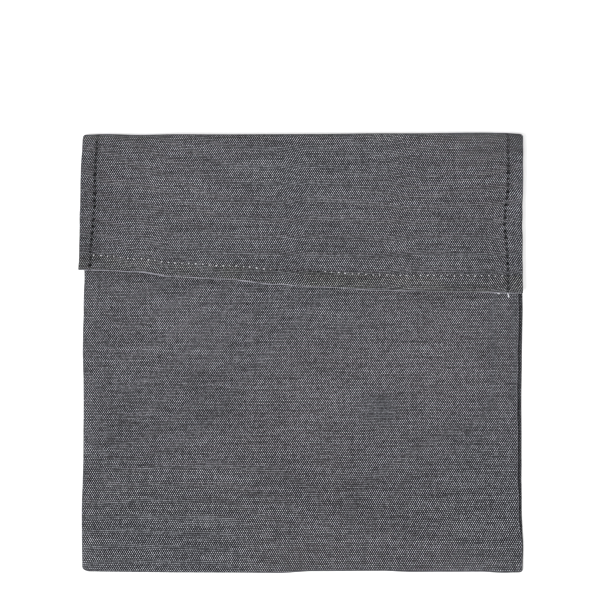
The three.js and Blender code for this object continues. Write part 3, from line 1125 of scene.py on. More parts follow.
                spans.insert(0, span[:, ::-1])
            else:
                grid.append(margin)
                spans.append(span)
        return LaidCloth(np.concatenate(grid, axis=1), np.concatenate(spans, axis=1), None)


# ---------------------------------------------------------------------------------------------
# Meshes and colours along the cloth
# ---------------------------------------------------------------------------------------------


# Painted light and shade: soft areas lighter over the front's and the flap's swells and by edges that face
# the key light, darker over hollows and over slopes that face away from it, such as the flap's left hem, its
# top-right corner and its right stitch line.
PAINTED_LIGHT_PATCHES = (
    Swell(-75.0, 98.0, 22.0, 0.07),
    Swell(-21.0, 104.0, 22.0, 0.07),
    Swell(30.0, 95.0, 24.0, 0.06),
    Swell(84.0, 112.0, 20.0, 0.07),
    Swell(-64.0, 16.0, 22.0, 0.09),
    Swell(78.0, 2.0, 32.0, 0.08),
    Swell(7.0, -27.0, 20.0, 0.06),
    Swell(-122.0, -40.0, 14.0, 0.05),
    Swell(-118.0, -116.0, 12.0, 0.07),
    Swell(-104.0, -38.0, 20.0, -0.10),
    Swell(-50.0, -30.0, 18.0, -0.08),
    Swell(-10.0, -69.0, 20.0, -0.08),
    Swell(47.0, -76.0, 34.0, -0.09),
    Swell(-124.0, 58.0, 16.0, -0.16),
    Swell(-104.0, 86.0, 17.0, -0.05),
    Swell(-121.0, 96.0, 14.0, -0.06),
    Swell(122.0, 118.0, 14.0, -0.14),
    Swell(106.0, 64.0, 12.0, -0.08),
)


@dataclass(frozen=True)
class ToneAndPaintedLight:
    """Shares by which parts of the cloth are lighter or darker: a slight random unevenness, and painted
    light and shade.
    """

    uneven: tuple[Noise, Noise] = (Noise(0.015, 26.0, 18.0, 61), Noise(0.010, 9.0, 7.0, 62))
    # Painted highlight along the front's left side, stronger lower down.
    left: float = 0.05
    left_low: float = 0.07
    left_step: Step = Step(-10.0, 40.0)
    left_reach: float = 6.5
    # Painted highlight along the bottom fold.
    fold: Band = Band(0.10, 0.0, 4.5)
    # Painted shadow on the front just under the flap's edge, in streaks.
    shade: float = 0.17
    shade_least: float = 0.65
    shade_streaks: Noise = Noise(0.35, 22.0, 9.0, 63)
    shade_step: Step = Step(0.0, 0.8)
    shade_reach: float = 5.5
    # Painted shade in the furrow of the right half of the lower stitches.
    furrow: Band = Band(0.15, 0.0, 1.5)
    furrow_step: Step = Step(-30.0, 35.0)
    hem: float = 0.04
    hem_step: Step = Step(-1.0, 2.0)
    # Painted shadow on the back's edge where it shows past the front's right side.
    rim_shadow: float = 0.35
    rim_shadow_up: Step = Step(0.4, 0.3)
    rim_shadow_in: Step = Step(-3.5, 0.5)


CLOTH_TONE_AND_PAINTED_LIGHT = ToneAndPaintedLight()


def add_mesh(name: str, points: Array, faces: Array) -> Piece:
    """Makes a smooth object at the origin, unturned and unscaled.

    Args:
        name: the piece's name.
        points: its vertices, in millimetres.
        faces: the vertices of each face, turning to the left as seen from outside.

    Returns:
        The object, linked to the scene, with its mesh in metres.
    """
    mesh = bpy.data.meshes.new(name)
    mesh.from_pydata((points * MM).tolist(), [], faces.tolist())
    mesh.update()
    mesh.polygons.foreach_set("use_smooth", np.full(len(mesh.polygons), True))
    piece = bpy.data.objects.new(name, mesh)
    bpy.context.scene.collection.objects.link(piece)
    return piece


def add_attribute(piece: Piece, name: str, values: Array) -> None:
    """Stores one value per vertex under a name that a finish can read."""
    layer = piece.data.attributes.new(name, "FLOAT", "POINT")
    layer.data.foreach_set("value", values.astype(np.float32).ravel())


def add_uv(piece: Piece, flat: Array) -> None:
    """Stores each vertex's place on the flat cloth as the piece's UV map.

    Args:
        piece: the piece.
        flat: (across, along) of each vertex, in metres.
    """
    layer = piece.data.uv_layers.new(name="UVMap")
    corners = np.empty(len(piece.data.loops), dtype=np.int32)
    piece.data.loops.foreach_get("vertex_index", corners)
    layer.data.foreach_set("uv", flat.reshape(-1, 2)[corners].astype(np.float32).ravel())


def grid_faces(rows: int, columns: int) -> Array:
    """Makes the four-cornered faces of a grid.

    Args:
        rows: how many rows of vertices it has.
        columns: how many vertices a row has.

    Returns:
        The corners of each face, which faces out where the rows run down the front.
    """
    index = np.arange(rows * columns).reshape(rows, columns)
    corners = (index[:-1, :-1], index[1:, :-1], index[1:, 1:], index[:-1, 1:])
    return np.stack(corners, axis=-1).reshape(-1, 4)


@dataclass
class BagCloth:
    """The bag itself: the laid strip as one mesh, with what its finish needs to know."""

    strip: ClothStrip
    drift: YarnDrift
    lowest: float = 0.01
    no_line: float = 60.0

    def build(self, finish: Material) -> tuple[Piece, Array]:
        """Builds the cloth.

        Args:
            finish: the chambray.

        Returns:
            The piece, and how far it was moved so that its outline's middle is at the origin.
        """
        shape = self.strip.shape
        laid = self.strip.lay()
        points = laid.points
        rows, columns = points.shape[:2]
        low, high = points.reshape(-1, 3).min(axis=0), points.reshape(-1, 3).max(axis=0)
        move = -(low + high) / 2
        move[2] = 0.0
        placed = points.reshape(-1, 3) + move
        placed[:, 2] = np.maximum(placed[:, 2], self.lowest)
        piece = add_mesh("bag", placed, grid_faces(rows, columns))
        flat = self.flat_places(laid)
        add_uv(piece, flat * MM)
        x, y, z = points[..., 0], points[..., 1], points[..., 2]
        flap_zones = (Zone.TOP_FOLD.value, Zone.FLAP.value, Zone.FLAP_TURN.value)
        over = np.isin(laid.zones, flap_zones)[:, None]
        front = (laid.zones == Zone.FRONT.value)[:, None]
        left, right = shape.flap_sides(y)
        above = y - shape.flap_edge(x)
        side = np.minimum(x - left, right - x) - shape.side_inset(x, y)
        side = np.where(over, side, self.no_line)
        hem = np.where(over, above - shape.hem_width(x), self.no_line)
        lip = shape.pouch_sides(y)[1] - self.strip.roll(y) - x
        # Distance from the flap's edge and from the front's right lip, along which the finish paints a pale
        # line, partly wear and partly painted highlight.
        edge = np.where(over, above, np.where(front & (x > 0), lip, self.no_line))
        add_attribute(piece, "side_line", side * MM)
        add_attribute(piece, "hem_line", hem * MM)
        add_attribute(piece, "edge_line", edge * MM)
        add_attribute(piece, "worn", np.where(over, self.worn(x, y, hem), 0.0))
        # The cloth's slight random unevenness together with painted light and shade.
        add_attribute(piece, "tone_and_painted_light", self.tone_and_painted_light(x, y, z, hem, laid.zones))
        add_attribute(piece, "warp_shift", self.drift.warp(x, y, over) * MM)
        add_attribute(piece, "weft_shift", self.drift.weft(y, over) * MM)
        piece.data.materials.append(finish)
        return piece, move

    def flat_places(self, laid: LaidCloth) -> Array:
        """Each point's place on the flat strip.

        Args:
            laid: the laid cloth.

        Returns:
            (across, along). The first grows over the turned edges by their arc. The second is the
            summed length of the column's steps, set so that it runs as -y on the front.
        """
        points = laid.points
        edge = self.strip.wrap + self.strip.dive + self.strip.inside
        middle = points[:, edge:-edge]
        steps = np.linalg.norm(np.diff(middle, axis=0), axis=2)
        run = np.concatenate([np.zeros((1, steps.shape[1])), np.cumsum(steps, axis=0)])
        front = laid.zones == Zone.FRONT.value
        height = np.where(front[:, None], np.abs(middle[..., 1]), 1e6)
        nearest = height.argmin(axis=0)
        columns = np.arange(run.shape[1])
        run = run - (run[nearest, columns] + middle[nearest, columns, 1])
        run = np.pad(run, ((0, 0), (edge, edge)), mode="edge")
        return np.stack([laid.across, run], axis=-1)

    def worn(self, x: Array, y: Array, hem: Array) -> Array:
        """How worn the flap is.

        Args:
            x: place across the flap.
            y: place up the flap.
            hem: distance up from its lower stitches.

        Returns:
            1 on the lower hem, up to 0.7 just under the top fold, and 0 elsewhere.
        """
        lower = 1.0 - ease((hem + 0.6) / 1.2)
        upper = 0.7 * bell(self.strip.shape.top_fold(x) - y - 1.5, 2.5)
        return np.maximum(lower, upper)

    def tone_and_painted_light(self, x: Array, y: Array, z: Array, hem: Array, zones: Array) -> Array:
        """How light the cloth is.

        Args:
            x: place across the bag.
            y: place up the bag.
            z: height.
            hem: distance up from the flap's lower stitches.
            zones: zone of each row.

        Returns:
            1 with a slight random unevenness, and painted light and shade: soft areas lighter over the
            swells and by edges that face the key, darker over hollows and slopes that face away from it;
            a painted highlight along the front's left side and bottom fold; painted shadow under the
            flap's edge, in the furrow of the right half of the lower stitches, and on the back's edge
            where it shows past the front's right side; and slightly darker over the flap's lower hem.
        """
        shape = self.strip.shape
        look = CLOTH_TONE_AND_PAINTED_LIGHT
        back = (zones == Zone.BACK.value)[:, None]
        front = (zones == Zone.FRONT.value)[:, None]
        flap = (zones == Zone.FLAP.value)[:, None]
        left, right = shape.pouch_sides(y)
        # Painted highlight along the front's left side and the bottom fold.
        light = (look.left + look.left_low * look.left_step.at(-y)) * bell(x - left, look.left_reach)
        light = light + look.fold.at(y - shape.bottom_fold(x))
        # Painted shadow under the flap's edge.
        under = shape.flap_edge(x) - y
        streaky = look.shade_least + look.shade_streaks.at(x, 0 * x)
        light = light - look.shade * streaky * look.shade_step.at(under) * bell(under, look.shade_reach)
        # Painted shade in the furrow of the right half of the lower stitches.
        furrow = look.furrow.at(hem) * look.furrow_step.at(x)
        low_hem = look.hem * (1.0 - look.hem_step.at(hem))
        # Painted shadow on the back's edge past the front's right side, above the floor.
        rim_shadow = look.rim_shadow * back * look.rim_shadow_up.at(z) * look.rim_shadow_in.at(x - right)
        # Painted light and shade of the soft areas, left off the back.
        patches = np.where(back, 0.0, swelling(PAINTED_LIGHT_PATCHES, x, y))
        uneven = unevenness(look.uneven, x, y)
        return 1.0 + patches + uneven + front * light - flap * (furrow + low_hem) - rim_shadow


@dataclass
class SewnThread:
    """The visible thread of the flap's lower hem."""

    shape: BagShape
    thick: float = 0.62
    length: float = 1.0
    sides: int = 8
    stations: int = 7
    from_left: float = 6.5
    from_right: float = 10.0
    stray_along: float = 0.25
    stray_across: float = 0.2
    stray_turn: float = 0.3
    proud: float = 0.06
    sunk: float = 0.38
    pulled: float = 0.12
    dip: float = 0.22

    def stitches(self, move: Array, finish: Material) -> Piece:
        """Builds every stitch of the lower hem as short rounded threads.

        Args:
            move: how far the cloth was moved.
            finish: the thread's finish.

        Returns:
            One piece. Its stitches stray a little from the hem's line, sink into the cloth in
            the middle of the hem, and are pulled tighter in its right half.
        """
        shape = self.shape
        rng = np.random.default_rng(7)
        first, last = -shape.width / 2 + self.from_left, shape.width / 2 - self.from_right
        x = np.arange(first, last, shape.stitch_pitch_hem)
        x = x + rng.uniform(-self.stray_along, self.stray_along, len(x))
        stray = rng.uniform(-self.stray_across, self.stray_across, len(x))
        y = shape.flap_edge(x) + shape.hem_width(x) + stray
        sunk = self.sunk * ease((x + 24.0) / 10.0) * (1.0 - ease((x - 8.0) / 10.0))
        z = shape.flap_height(x, y) + self.proud - sunk - self.pulled * ease((x - 20.0) / 20.0)
        turn = rng.uniform(-self.stray_turn, self.stray_turn, len(x))
        long = self.length * rng.uniform(0.7, 1.25, len(x))
        heading = np.stack([np.cos(turn), np.sin(turn), 0 * turn], axis=-1)
        centres = np.stack([x, y, z], axis=-1)
        return self.threads("hem_stitches", centres, heading, long, move, finish)

    def threads(
        self,
        name: str,
        centres: Array,
        heading: Array,
        long: Array,
        move: Array,
        finish: Material,
    ) -> Piece:
        """Builds short threads that dive into the cloth at both ends.

        Args:
            name: the piece's name.
            centres: middle of each thread.
            heading: unit direction of each, level.
            long: length of each.
            move: how far the cloth was moved.
            finish: the thread's finish.

        Returns:
            One piece: along each thread, with t from -1 to 1, the centre line drops as
            1 - cos(pi t / 2), and the ring's radius follows sqrt(1 - t^4) down to a fine tip.
        """
        t = np.linspace(-1.0, 1.0, self.stations)
        around = np.linspace(0, 2 * np.pi, self.sides, endpoint=False)
        drop = -self.dip * (1 - np.cos(0.5 * np.pi * t))
        radius = self.thick / 2 * np.sqrt(np.maximum(1 - np.abs(t) ** 4, 0.004))
        aside = np.stack([-heading[:, 1], heading[:, 0], 0 * heading[:, 0]], axis=-1)
        reach = t[None, :, None] * long[:, None, None] / 2
        line = centres[:, None, :] + heading[:, None, :] * reach
        line[..., 2] += drop
        ring = radius[None, :, None] * np.cos(around)[None, None, :]
        lift = radius[None, :, None] * np.sin(around)[None, None, :]
        points = line[:, :, None, :] + aside[:, None, None, :] * ring[..., None]
        points[..., 2] += lift
        count = len(centres)
        index = np.arange(count * self.stations * self.sides)
        index = index.reshape(count, self.stations, self.sides)
        after = np.roll(index, -1, axis=2)
        quads = np.stack([index[:, :-1], index[:, 1:], after[:, 1:], after[:, :-1]], axis=-1)
        piece = add_mesh(name, points.reshape(-1, 3) + move, quads.reshape(-1, 4))
        piece.data.materials.append(finish)
        return piece


class EndPoint(NamedTuple):
    """A point of a loose thread end, with its height over the cloth of the front."""

    x: float
    y: float
    over: float


LONG_END = (
    EndPoint(114.9, 35.3, 0.5),
    EndPoint(115.6, 34.4, 0.9),
    EndPoint(116.3, 33.9, 0.9),
    EndPoint(116.8, 32.7, 0.6),
    EndPoint(117.3, 31.5, 0.35),
)
SHORT_END = (
    EndPoint(109.6, 35.2, 0.5),
    EndPoint(110.1, 34.6, 0.9),
    EndPoint(110.7, 34.1, 0.9),
    EndPoint(111.3, 33.8, 0.7),
    EndPoint(111.9, 33.6, 0.4),
)


@dataclass
class LooseEnds:
    """Two ends of sewing thread that come out from under the flap's edge."""

    shape: BagShape
    thick: float = 0.62
    fray: float = 1.5
    sides: int = 10
    stations: int = 28

    def build(self, move: Array, finish: Material) -> Piece:
        """Builds both ends as one piece.

        Args:
            move: how far the cloth was moved.
            finish: the thread's finish.

        Returns:
            The piece: two tubes whose radius grows towards the frayed end and, with t from -1 to
            1, follows sqrt(1 - t^6) down to a fine tip at both.
        """
        points, quads = [], []
        for route in (LONG_END, SHORT_END):
            tube = self.tube(route)
            index = np.arange(self.stations * self.sides).reshape(self.stations, self.sides)
            after = np.roll(index, -1, axis=1)
            faces = np.stack([index[:-1], after[:-1], after[1:], index[1:]], axis=-1).reshape(-1, 4)
            quads.append(faces + sum(len(p) for p in points))
            points.append(tube)
        piece = add_mesh("thread_ends", np.concatenate(points) + move, np.concatenate(quads))
        piece.data.materials.append(finish)
        return piece

    def tube(self, route: Sequence[EndPoint]) -> Array:
        """Lays one end along its route.

        Args:
            route: the points that the end follows.

        Returns:
            Rings of points round the line: at each station the ring's middle plus
            radius * (cos * aside + sin * up), with both directions square to the line.
        """
        knots = np.array([[p.x, p.y, p.over] for p in route])
        knots[:, 2] += self.shape.front_height(knots[:, 0], knots[:, 1])
        t = np.linspace(0.0, 1.0, self.stations)
        power = np.polynomial.polynomial.polyfit(np.linspace(0.0, 1.0, len(knots)), knots, 4)
        line = np.polynomial.polynomial.polyval(t, power).T
        ahead = np.gradient(line, axis=0)
        ahead = ahead / np.linalg.norm(ahead, axis=1)[:, None]
        aside = np.cross(ahead, [0.0, 0.0, 1.0])
        aside = aside / np.linalg.norm(aside, axis=1)[:, None]
        up = np.cross(aside, ahead)
        radius = self.thick / 2 * mix(1.0, self.fray, ease((t - 0.6) / 0.4))
        radius = radius * np.sqrt(np.maximum(1 - np.abs(2 * t - 1) ** 6, 0.002))
        around = np.linspace(0, 2 * np.pi, self.sides, endpoint=False)
        across, rise = np.cos(around)[None, :, None], np.sin(around)[None, :, None]
        ring = across * aside[:, None] + rise * up[:, None]
        return (line[:, None] + radius[:, None, None] * ring).reshape(-1, 3)


# ---------------------------------------------------------------------------------------------
# Finishes
# ---------------------------------------------------------------------------------------------


class Nodes:
    """A short way to write a finish's nodes."""

    def __init__(self, name: str) -> None:
        """Starts an empty finish.

        Args:
            name: the material's name.
        """
        self.material = bpy.data.materials.new(name)
        self.material.use_nodes = True
        self.tree = self.material.node_tree
        self.tree.nodes.clear()

    def add(self, kind: str, inputs: Optional[dict] = None, **settings: object) -> Node:
        """Adds a node.

        Args:
            kind: its type.
            inputs: values or sockets for its inputs, by name or number.
            settings: its properties.

        Returns:
            The node.
        """
        node = self.tree.nodes.new(kind)
        for key, value in settings.items():
            setattr(node, key, value)
        for key, value in (inputs or {}).items():
            if isinstance(value, Socket):
                self.tree.links.new(value, node.inputs[key])
            else:
                node.inputs[key].default_value = value
        return node

    def math(self, operation: str, *values: object) -> Socket:
        """Returns the result of a Math node on sockets or numbers."""
        return self.add("ShaderNodeMath", dict(enumerate(values)), operation=operation).outputs[0]

    def times(self, *values: object) -> Socket:
        """Multiplies sockets and numbers.

        Args:
            values: two or more of them, multiplied from left to right.

        Returns:
            The product.
        """
        product = values[0]
        for value in values[1:]:
            product = self.math("MULTIPLY", product, value)
        return product

    def ramp(self, value: object, low: float, high: float, to_low: float = 0, to_high: float = 1) -> Socket:
        """Eases a value from one range into another.

        Args:
            value: the value.
            low: start of its range.
            high: end of its range.
            to_low: result at and before the start.
            to_high: result at and past the end.

        Returns:
            The eased value.
        """
        inputs = {0: value, 1: low, 2: high, 3: to_low, 4: to_high}
        return self.add("ShaderNodeMapRange", inputs, interpolation_type="SMOOTHSTEP").outputs[0]

    def fade(self, distance: object, full: float, gone: float) -> Socket:
        """Returns a value that eases from 1 at one distance to 0 at another."""
        return self.ramp(distance, full, gone, 1.0, 0.0)

    def blend(self, share: object, first: object, second: object, how: str = "MIX") -> Socket:
        """Returns two colours mixed by a share."""
        inputs = {0: share, 6: first, 7: second}
        return self.add("ShaderNodeMix", inputs, data_type="RGBA", blend_type=how).outputs[2]

    def scaled(self, colour: object, share: object) -> Socket:
        """Returns a colour times a number."""
        inputs = {0: colour, "Scale": share}
        return self.add("ShaderNodeVectorMath", inputs, operation="SCALE").outputs[0]

    def vector(self, x: object, y: object, z: object = 0.0) -> Socket:
        """Returns a vector from three sockets or numbers."""
        return self.add("ShaderNodeCombineXYZ", {0: x, 1: y, 2: z}).outputs[0]

    def noise(self, place: Socket, scale: float, detail: float = 2.0) -> Socket:
        """Returns the value, about 0.5, of a noise texture at a place."""
        inputs = {"Vector": place, "Scale": scale, "Detail": detail, "Roughness": 0.5}
        return self.add("ShaderNodeTexNoise", inputs, noise_dimensions="2D").outputs[0]

    def streaks(self, x: object, y: object, across: float, along: float) -> Socket:
        """Returns noise at (x * across, y * along), drawn out where the scale is small."""
        return self.noise(self.vector(self.times(x, across), self.times(y, along)), 1.0, 1.0)

    def read(self, name: str) -> Socket:
        """Returns a vertex attribute of the piece."""
        node = self.add("ShaderNodeAttribute", attribute_name=name, attribute_type="GEOMETRY")
        return node.outputs["Fac"]

    def finish(self, shader: Node) -> Material:
        """Joins the shader to the output.

        Args:
            shader: the node that gives the surface.

        Returns:
            The finished material.
        """
        output = self.add("ShaderNodeOutputMaterial")
        self.tree.links.new(shader.outputs[0], output.inputs[0])
        return self.material


@dataclass(frozen=True)
class Chambray:
    """Plain weave of near-black warp and pale lavender-grey weft, in metres on the flat cloth."""

    warp_pitch: float = 0.000567
    weft_pitch: float = 0.0008505
    warp_phase: float = 0.00033
    drift_scale: float = 26.0
    drift_warp: float = 0.0005
    drift_weft: float = 0.0016
    dome_from: float = 0.47
    dome_to: float = 0.83
    skirt: float = 0.05
    slub: tuple[float, float] = (0.8, 1.2)
    uneven: tuple[float, float] = (0.9, 1.1)
    speck: tuple[float, float] = (0.7, 1.3)
    thin: float = 0.75
    weft: tuple[float, float, float] = (0.758, 0.775, 0.848)
    warp: tuple[float, float, float, float] = (0.0068, 0.0065, 0.0088, 1.0)
    worn: tuple[float, float, float, float] = (1.02, 1.02, 0.93, 1.0)
    # Pale edge line: partly wear from rubbing, partly painted highlight.
    rubbed_and_highlight: tuple[float, float, float, float] = (0.33, 0.325, 0.37, 1.0)
    side_pitch: float = 0.00368
    side_stray: float = 0.0014
    hem_pitch: float = 0.00386
    hem_phase: float = 0.00105
    # How far the needle holes and the side furrow darken the cloth: painted shade.
    hole_shade_depth: float = 0.93
    hole_across: tuple[float, float] = (0.0006, 0.0011)
    hole_along: tuple[float, float] = (0.0006, 0.0012)
    hole_uneven: tuple[float, float, float, float] = (0.3, 0.6, 1.0, 0.8)
    furrow_across: tuple[float, float] = (0.0003, 0.0012)
    furrow_uneven: tuple[float, float, float, float] = (0.35, 0.65, 0.25, 0.4)
    small_across: tuple[float, float, float, float] = (0.0003, 0.0006, 0.85, 0.0)
    small_along: tuple[float, float] = (0.0003, 0.0006)
    edge_reach: tuple[float, float] = (0.0002, 0.0006)
    rub_and_highlight: tuple[float, float, float, float] = (0.32, 0.56, 0.35, 0.9)
    patch: tuple[float, float, float, float] = (0.3, 0.7, 0.2, 1.0)
    roughness: float = 0.92
    relief: float = 0.4
    relief_height: float = 0.0001

    def build(self) -> Material:
        """Builds the finish.

        Returns:
            The material: yarn by yarn colour, a worn tint on the hem, a pale edge line that is partly
            wear and partly painted highlight, needle holes and a stitch furrow darkened as painted shade,
            the piece's random unevenness and painted light and shade, and the relief of yarns and holes.
        """
        n = Nodes("chambray")
        uv = n.add("ShaderNodeUVMap", uv_map="UVMap").outputs[0]
        place = n.add("ShaderNodeSeparateXYZ", {0: uv})
        u, v = place.outputs[0], place.outputs[1]
        a, b = self.yarn_counts(n, uv, u, v)
        wave_a = n.math("SINE", n.times(a, math.pi))
        wave_b = n.math("SINE", n.times(b, math.pi))
        over = n.times(wave_a, wave_b)
        cloth = self.woven(n, over, self.yarn_light(n, u, v, n.math("FLOOR", a), n.math("FLOOR", b)))
        cloth = self.aged_with_edge_highlight(n, cloth, uv, u)
        holes = self.holes(n, n.read("side_line"), n.read("hem_line"), u, v)
        # The woven colour times the piece's random unevenness and painted light and shade, darkened further
        # by painted shade in the needle holes and the side furrow.
        shade = n.times(n.read("tone_and_painted_light"), n.math("SUBTRACT", 1.0, n.times(holes, self.hole_shade_depth)))
        height = n.math("SUBTRACT", n.math("ABSOLUTE", over), n.times(holes, 1.5))
        bump = n.add("ShaderNodeBump", {
            "Strength": self.relief,
            "Distance": self.relief_height,
            "Height": height,
        })
        shader = n.add("ShaderNodeBsdfPrincipled", {
            "Base Color": n.scaled(cloth, shade),
            "Roughness": self.roughness,
            "Specular IOR Level": 0.08,
            "Sheen Weight": 0.03,
            "Sheen Roughness": 0.6,
            "Normal": bump.outputs[0],
        })
        return n.finish(shader)

    def yarn_counts(self, n: Nodes, uv: Socket, u: Socket, v: Socket) -> tuple[Socket, Socket]:
        """Counts the yarns up to each place.

        Args:
            n: the finish's nodes.
            uv: place on the flat cloth.
            u: place across it.
            v: place along it.

        Returns:
            Warp yarns across and weft yarns along: (place + shift) / pitch, with the laid
            cloth's own shifts and a slow random one.
        """
        inputs = {"Vector": uv, "Scale": self.drift_scale, "Detail": 2.0}
        drift = n.add("ShaderNodeTexNoise", inputs, noise_dimensions="2D")
        shift = n.add("ShaderNodeSeparateXYZ", {0: drift.outputs["Color"]})
        wide = n.times(n.math("SUBTRACT", shift.outputs[0], 0.5), self.drift_warp)
        tall = n.times(n.math("SUBTRACT", shift.outputs[1], 0.5), self.drift_weft)
        wide = n.math("ADD", n.math("ADD", wide, self.warp_phase), n.read("warp_shift"))
        tall = n.math("ADD", tall, n.read("weft_shift"))
        a = n.math("DIVIDE", n.math("ADD", u, wide), self.warp_pitch)
        b = n.math("DIVIDE", n.math("ADD", v, tall), self.weft_pitch)
        return a, b

    def yarn_light(self, n: Nodes, u: Socket, v: Socket, column: Socket, row: Socket) -> Socket:
        """How light the weft shows at each crossing.

        Args:
            n: the finish's nodes.
            u: place across the flat cloth.
            v: place along it.
            column: number of the warp yarn.
            row: number of the weft yarn.

        Returns:
            The product of slubs along the weft, uneven warp, single specks and thin stretches.
        """
        speck = n.add("ShaderNodeTexWhiteNoise", {0: n.vector(column, row)}, noise_dimensions="2D")
        return n.times(
            n.ramp(n.streaks(u, row, 25.0, 7.31), 0.25, 0.75, *self.slub),
            n.ramp(n.streaks(column, v, 5.77, 40.0), 0.25, 0.75, *self.uneven),
            n.ramp(speck.outputs[0], 0.0, 1.0, *self.speck),
            n.ramp(n.streaks(u, row, 100.0, 3.77), 0.28, 0.42, self.thin, 1.0),
        )

    def woven(self, n: Nodes, over: Socket, light: Socket) -> Socket:
        """Colours the crossings.

        Args:
            n: the finish's nodes.
            over: 1 in the middle of a weft float and -1 in the middle of a warp float.
            light: how light the weft shows.

        Returns:
            Pale weft on its floats, and dark warp between them.
        """
        skirt = n.times(n.ramp(over, 0.02, 0.50), self.skirt)
        cover = n.math("MAXIMUM", n.ramp(over, self.dome_from, self.dome_to), skirt)
        return n.blend(cover, self.warp, n.scaled(self.weft, light))

    def aged_with_edge_highlight(self, n: Nodes, cloth: Socket, uv: Socket, u: Socket) -> Socket:
        """Adds the marks of use, and a painted highlight along the edges.

        Args:
            n: the finish's nodes.
            cloth: the woven colour.
            uv: place on the flat cloth.
            u: place across it.

        Returns:
            The cloth, in patches warmer where it is worn, and paler along the flap's edge and the front's
            right lip, partly from wear and partly as painted highlight.
        """
        patch = n.ramp(n.noise(uv, 60.0, 2.0), *self.patch)
        tinted = n.blend(1.0, cloth, self.worn, "MULTIPLY")
        cloth = n.blend(n.times(n.read("worn"), patch), cloth, tinted)
        # Pale line along the flap's edge and the front's right lip: partly wear, partly painted highlight.
        rub_and_highlight = n.ramp(n.noise(n.vector(n.times(u, 70.0), 3.7), 1.0, 2.0), *self.rub_and_highlight)
        return n.blend(n.times(n.fade(n.read("edge_line"), *self.edge_reach), rub_and_highlight), cloth, self.rubbed_and_highlight)

    def holes(self, n: Nodes, side: Socket, hem: Socket, u: Socket, v: Socket) -> Socket:
        """Needle holes along the flap's stitches, with a furrow along its sides, both darkened as painted
        shade.

        Args:
            n: the finish's nodes.
            side: distance from the side stitches.
            hem: distance from the lower stitches.
            u: place across the cloth.
            v: place along the cloth.

        Returns:
            1 in a hole and 0 away from the lines: two soft steps, of the distance across and of
            the distance along to the nearest hole.
        """
        across = n.math("ABSOLUTE", side)
        uneven = n.noise(n.vector(n.times(v, 160.0), 1.9), 1.0, 1.0)
        strayed = n.math("ADD", v, n.times(uneven, self.side_stray))
        near = self.nearest(n, strayed, self.side_pitch, 0.0)
        # Painted shade in the side stitches' needle holes.
        hole = n.times(n.fade(across, *self.hole_across), n.fade(near, *self.hole_along))
        hole = n.times(hole, n.ramp(uneven, *self.hole_uneven))
        # Painted shade along the side stitches' furrow.
        furrow = n.times(n.fade(across, *self.furrow_across), n.ramp(uneven, *self.furrow_uneven))
        # Painted shade in the lower hem's needle holes.
        beside = self.nearest(n, u, self.hem_pitch, self.hem_phase)
        low = n.ramp(n.math("ABSOLUTE", hem), *self.small_across)
        small = n.times(low, n.fade(beside, *self.small_along))
        return n.math("MAXIMUM", n.math("MAXIMUM", hole, furrow), small)

    def nearest(self, n: Nodes, place: Socket, pitch: float, phase: float) -> Socket:
        """Returns the distance from a place to the nearest of a row of holes."""
        share = n.math("FRACT", n.math("DIVIDE", n.math("ADD", place, phase), pitch))
        return n.times(n.math("ABSOLUTE", n.math("SUBTRACT", share, 0.5)), pitch)


@dataclass(frozen=True)
class Thread:
    """Sewing thread: two plies that wind round each other."""

    name: str
    colour: tuple[float, float, float]
    ply_pitch: float = 0.0005
    roughness: float = 0.75

    def build(self) -> Material:
        """Builds the finish.

        Returns:
            The material: slanting plies as relief, and a slight change of lightness.
        """
        n = Nodes(self.name)
        place = n.add("ShaderNodeTexCoord").outputs["Object"]
        at = n.add("ShaderNodeSeparateXYZ", {0: place})
        slant = n.math("ADD", at.outputs[0], n.times(at.outputs[1], 0.8))
        ply = n.math("SINE", n.times(slant, 2 * math.pi / self.ply_pitch))
        grain = n.add("ShaderNodeTexNoise", {"Vector": place, "Scale": 900.0, "Detail": 2.0})
        share = n.ramp(n.math("ADD", n.times(ply, 0.3), grain.outputs[0]), 0.2, 0.9, 0.75, 1.1)
        bump = n.add("ShaderNodeBump", {"Strength": 0.5, "Distance": 0.00005, "Height": ply})
        shader = n.add("ShaderNodeBsdfPrincipled", {
            "Base Color": n.scaled(self.colour, share),
            "Roughness": self.roughness,
            "Specular IOR Level": 0.2,
            "Normal": bump.outputs[0],
        })
        return n.finish(shader)


# ---------------------------------------------------------------------------------------------
# Floor, light and camera
# ---------------------------------------------------------------------------------------------


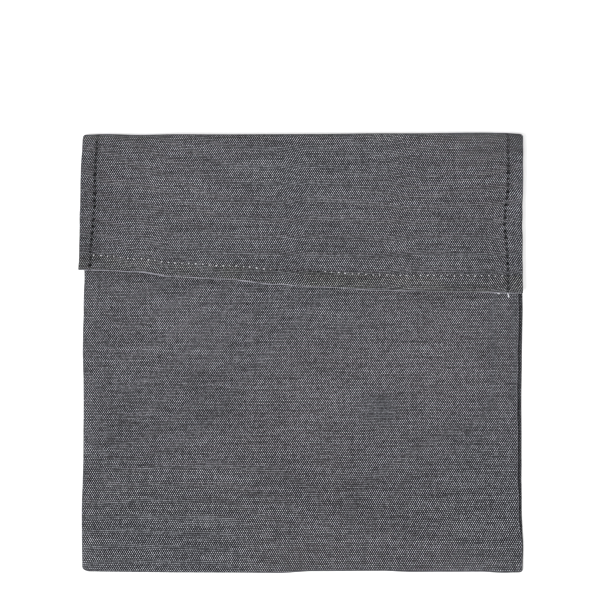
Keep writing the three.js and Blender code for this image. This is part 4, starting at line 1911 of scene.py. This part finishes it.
@dataclass
class Studio:
    """A white table seen from straight above under soft light."""

    half: float = 3.0
    floor_grey: float = 0.9
    floor_glow: float = 0.45
    surround: float = 0.62
    key_strength: float = 2.1
    key_angle: float = 24.0
    key_heading: tuple[float, float, float] = (0.62, 0.42, -0.80)
    lens: float = 200.0
    sensor: float = 36.0
    frame_width: float = 0.341
    aim: tuple[float, float] = (-0.0005, 0.030)

    def floor(self) -> Piece:
        """Builds the floor.

        Returns:
            One white face, which keeps the bag's shadow and shows as white.
        """
        n = Nodes("white_floor")
        grey = (self.floor_grey, self.floor_grey, self.floor_grey, 1.0)
        paper = n.add("ShaderNodeBsdfDiffuse", {"Color": grey, "Roughness": 0.0})
        path = n.add("ShaderNodeLightPath")
        seen = n.math("MAXIMUM", path.outputs["Is Camera Ray"], path.outputs["Is Glossy Ray"])
        seen = n.math("MAXIMUM", seen, path.outputs["Is Transmission Ray"])
        glow = n.add("ShaderNodeEmission", {
            "Color": (1.0, 1.0, 1.0, 1.0),
            "Strength": n.times(seen, self.floor_glow),
        })
        both = n.add("ShaderNodeAddShader", {0: paper.outputs[0], 1: glow.outputs[0]})
        h = self.half / MM
        corners = np.array([[-h, -h, 0.0], [h, -h, 0.0], [h, h, 0.0], [-h, h, 0.0]])
        piece = add_mesh("floor", corners, np.array([[0, 1, 2, 3]]))
        piece.data.materials.append(n.finish(both))
        return piece

    def light(self) -> None:
        """Sets an even white surround and one soft key from the lower left."""
        world = bpy.data.worlds.new("surround")
        world.use_nodes = True
        sky = world.node_tree.nodes["Background"]
        sky.inputs["Color"].default_value = (1.0, 1.0, 1.0, 1.0)
        sky.inputs["Strength"].default_value = self.surround
        bpy.context.scene.world = world
        data = bpy.data.lights.new("key", "SUN")
        data.energy = self.key_strength
        data.angle = math.radians(self.key_angle)
        lamp = bpy.data.objects.new("key", data)
        lamp.rotation_mode = "QUATERNION"
        lamp.rotation_quaternion = Vector(self.key_heading).to_track_quat("-Z", "Y")
        bpy.context.scene.collection.objects.link(lamp)

    def camera(self) -> None:
        """Sets the camera: a long lens, straight down, with its frame as wide as given."""
        data = bpy.data.cameras.new("camera")
        data.lens = self.lens
        data.sensor_width = self.sensor
        data.clip_start = 0.01
        data.clip_end = 20.0
        camera = bpy.data.objects.new("camera", data)
        distance = self.frame_width * self.lens / data.sensor_width
        camera.location = (self.aim[0], self.aim[1], distance)
        bpy.context.scene.collection.objects.link(camera)
        bpy.context.scene.camera = camera
        bpy.context.scene.view_settings.view_transform = "Standard"


def report(piece: Piece) -> None:
    """Logs a piece's name and how many faces it has."""
    log.info("%s: %d faces", piece.name, len(piece.data.polygons))


def main() -> None:
    """Builds the bag, its thread, the floor, the light and the camera, in that order."""
    shape = BagShape()
    chambray = Chambray().build()
    bag, move = BagCloth(ClothStrip(shape), YarnDrift()).build(chambray)
    report(bag)
    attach(bag, BODY)
    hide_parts(SOLID)
    pale_thread = Thread("pale_thread", (0.86, 0.86, 0.90)).build()
    stitches = SewnThread(shape).stitches(move, pale_thread)
    report(stitches)
    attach(stitches, BODY)
    loose_thread = Thread("loose_thread", (0.90, 0.90, 0.96)).build()
    ends = LooseEnds(shape).build(move, loose_thread)
    report(ends)
    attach(ends, BODY)
    studio = Studio()
    floor = studio.floor()
    report(floor)
    studio.light()
    studio.camera()


if __name__ == "__main__":
    main()
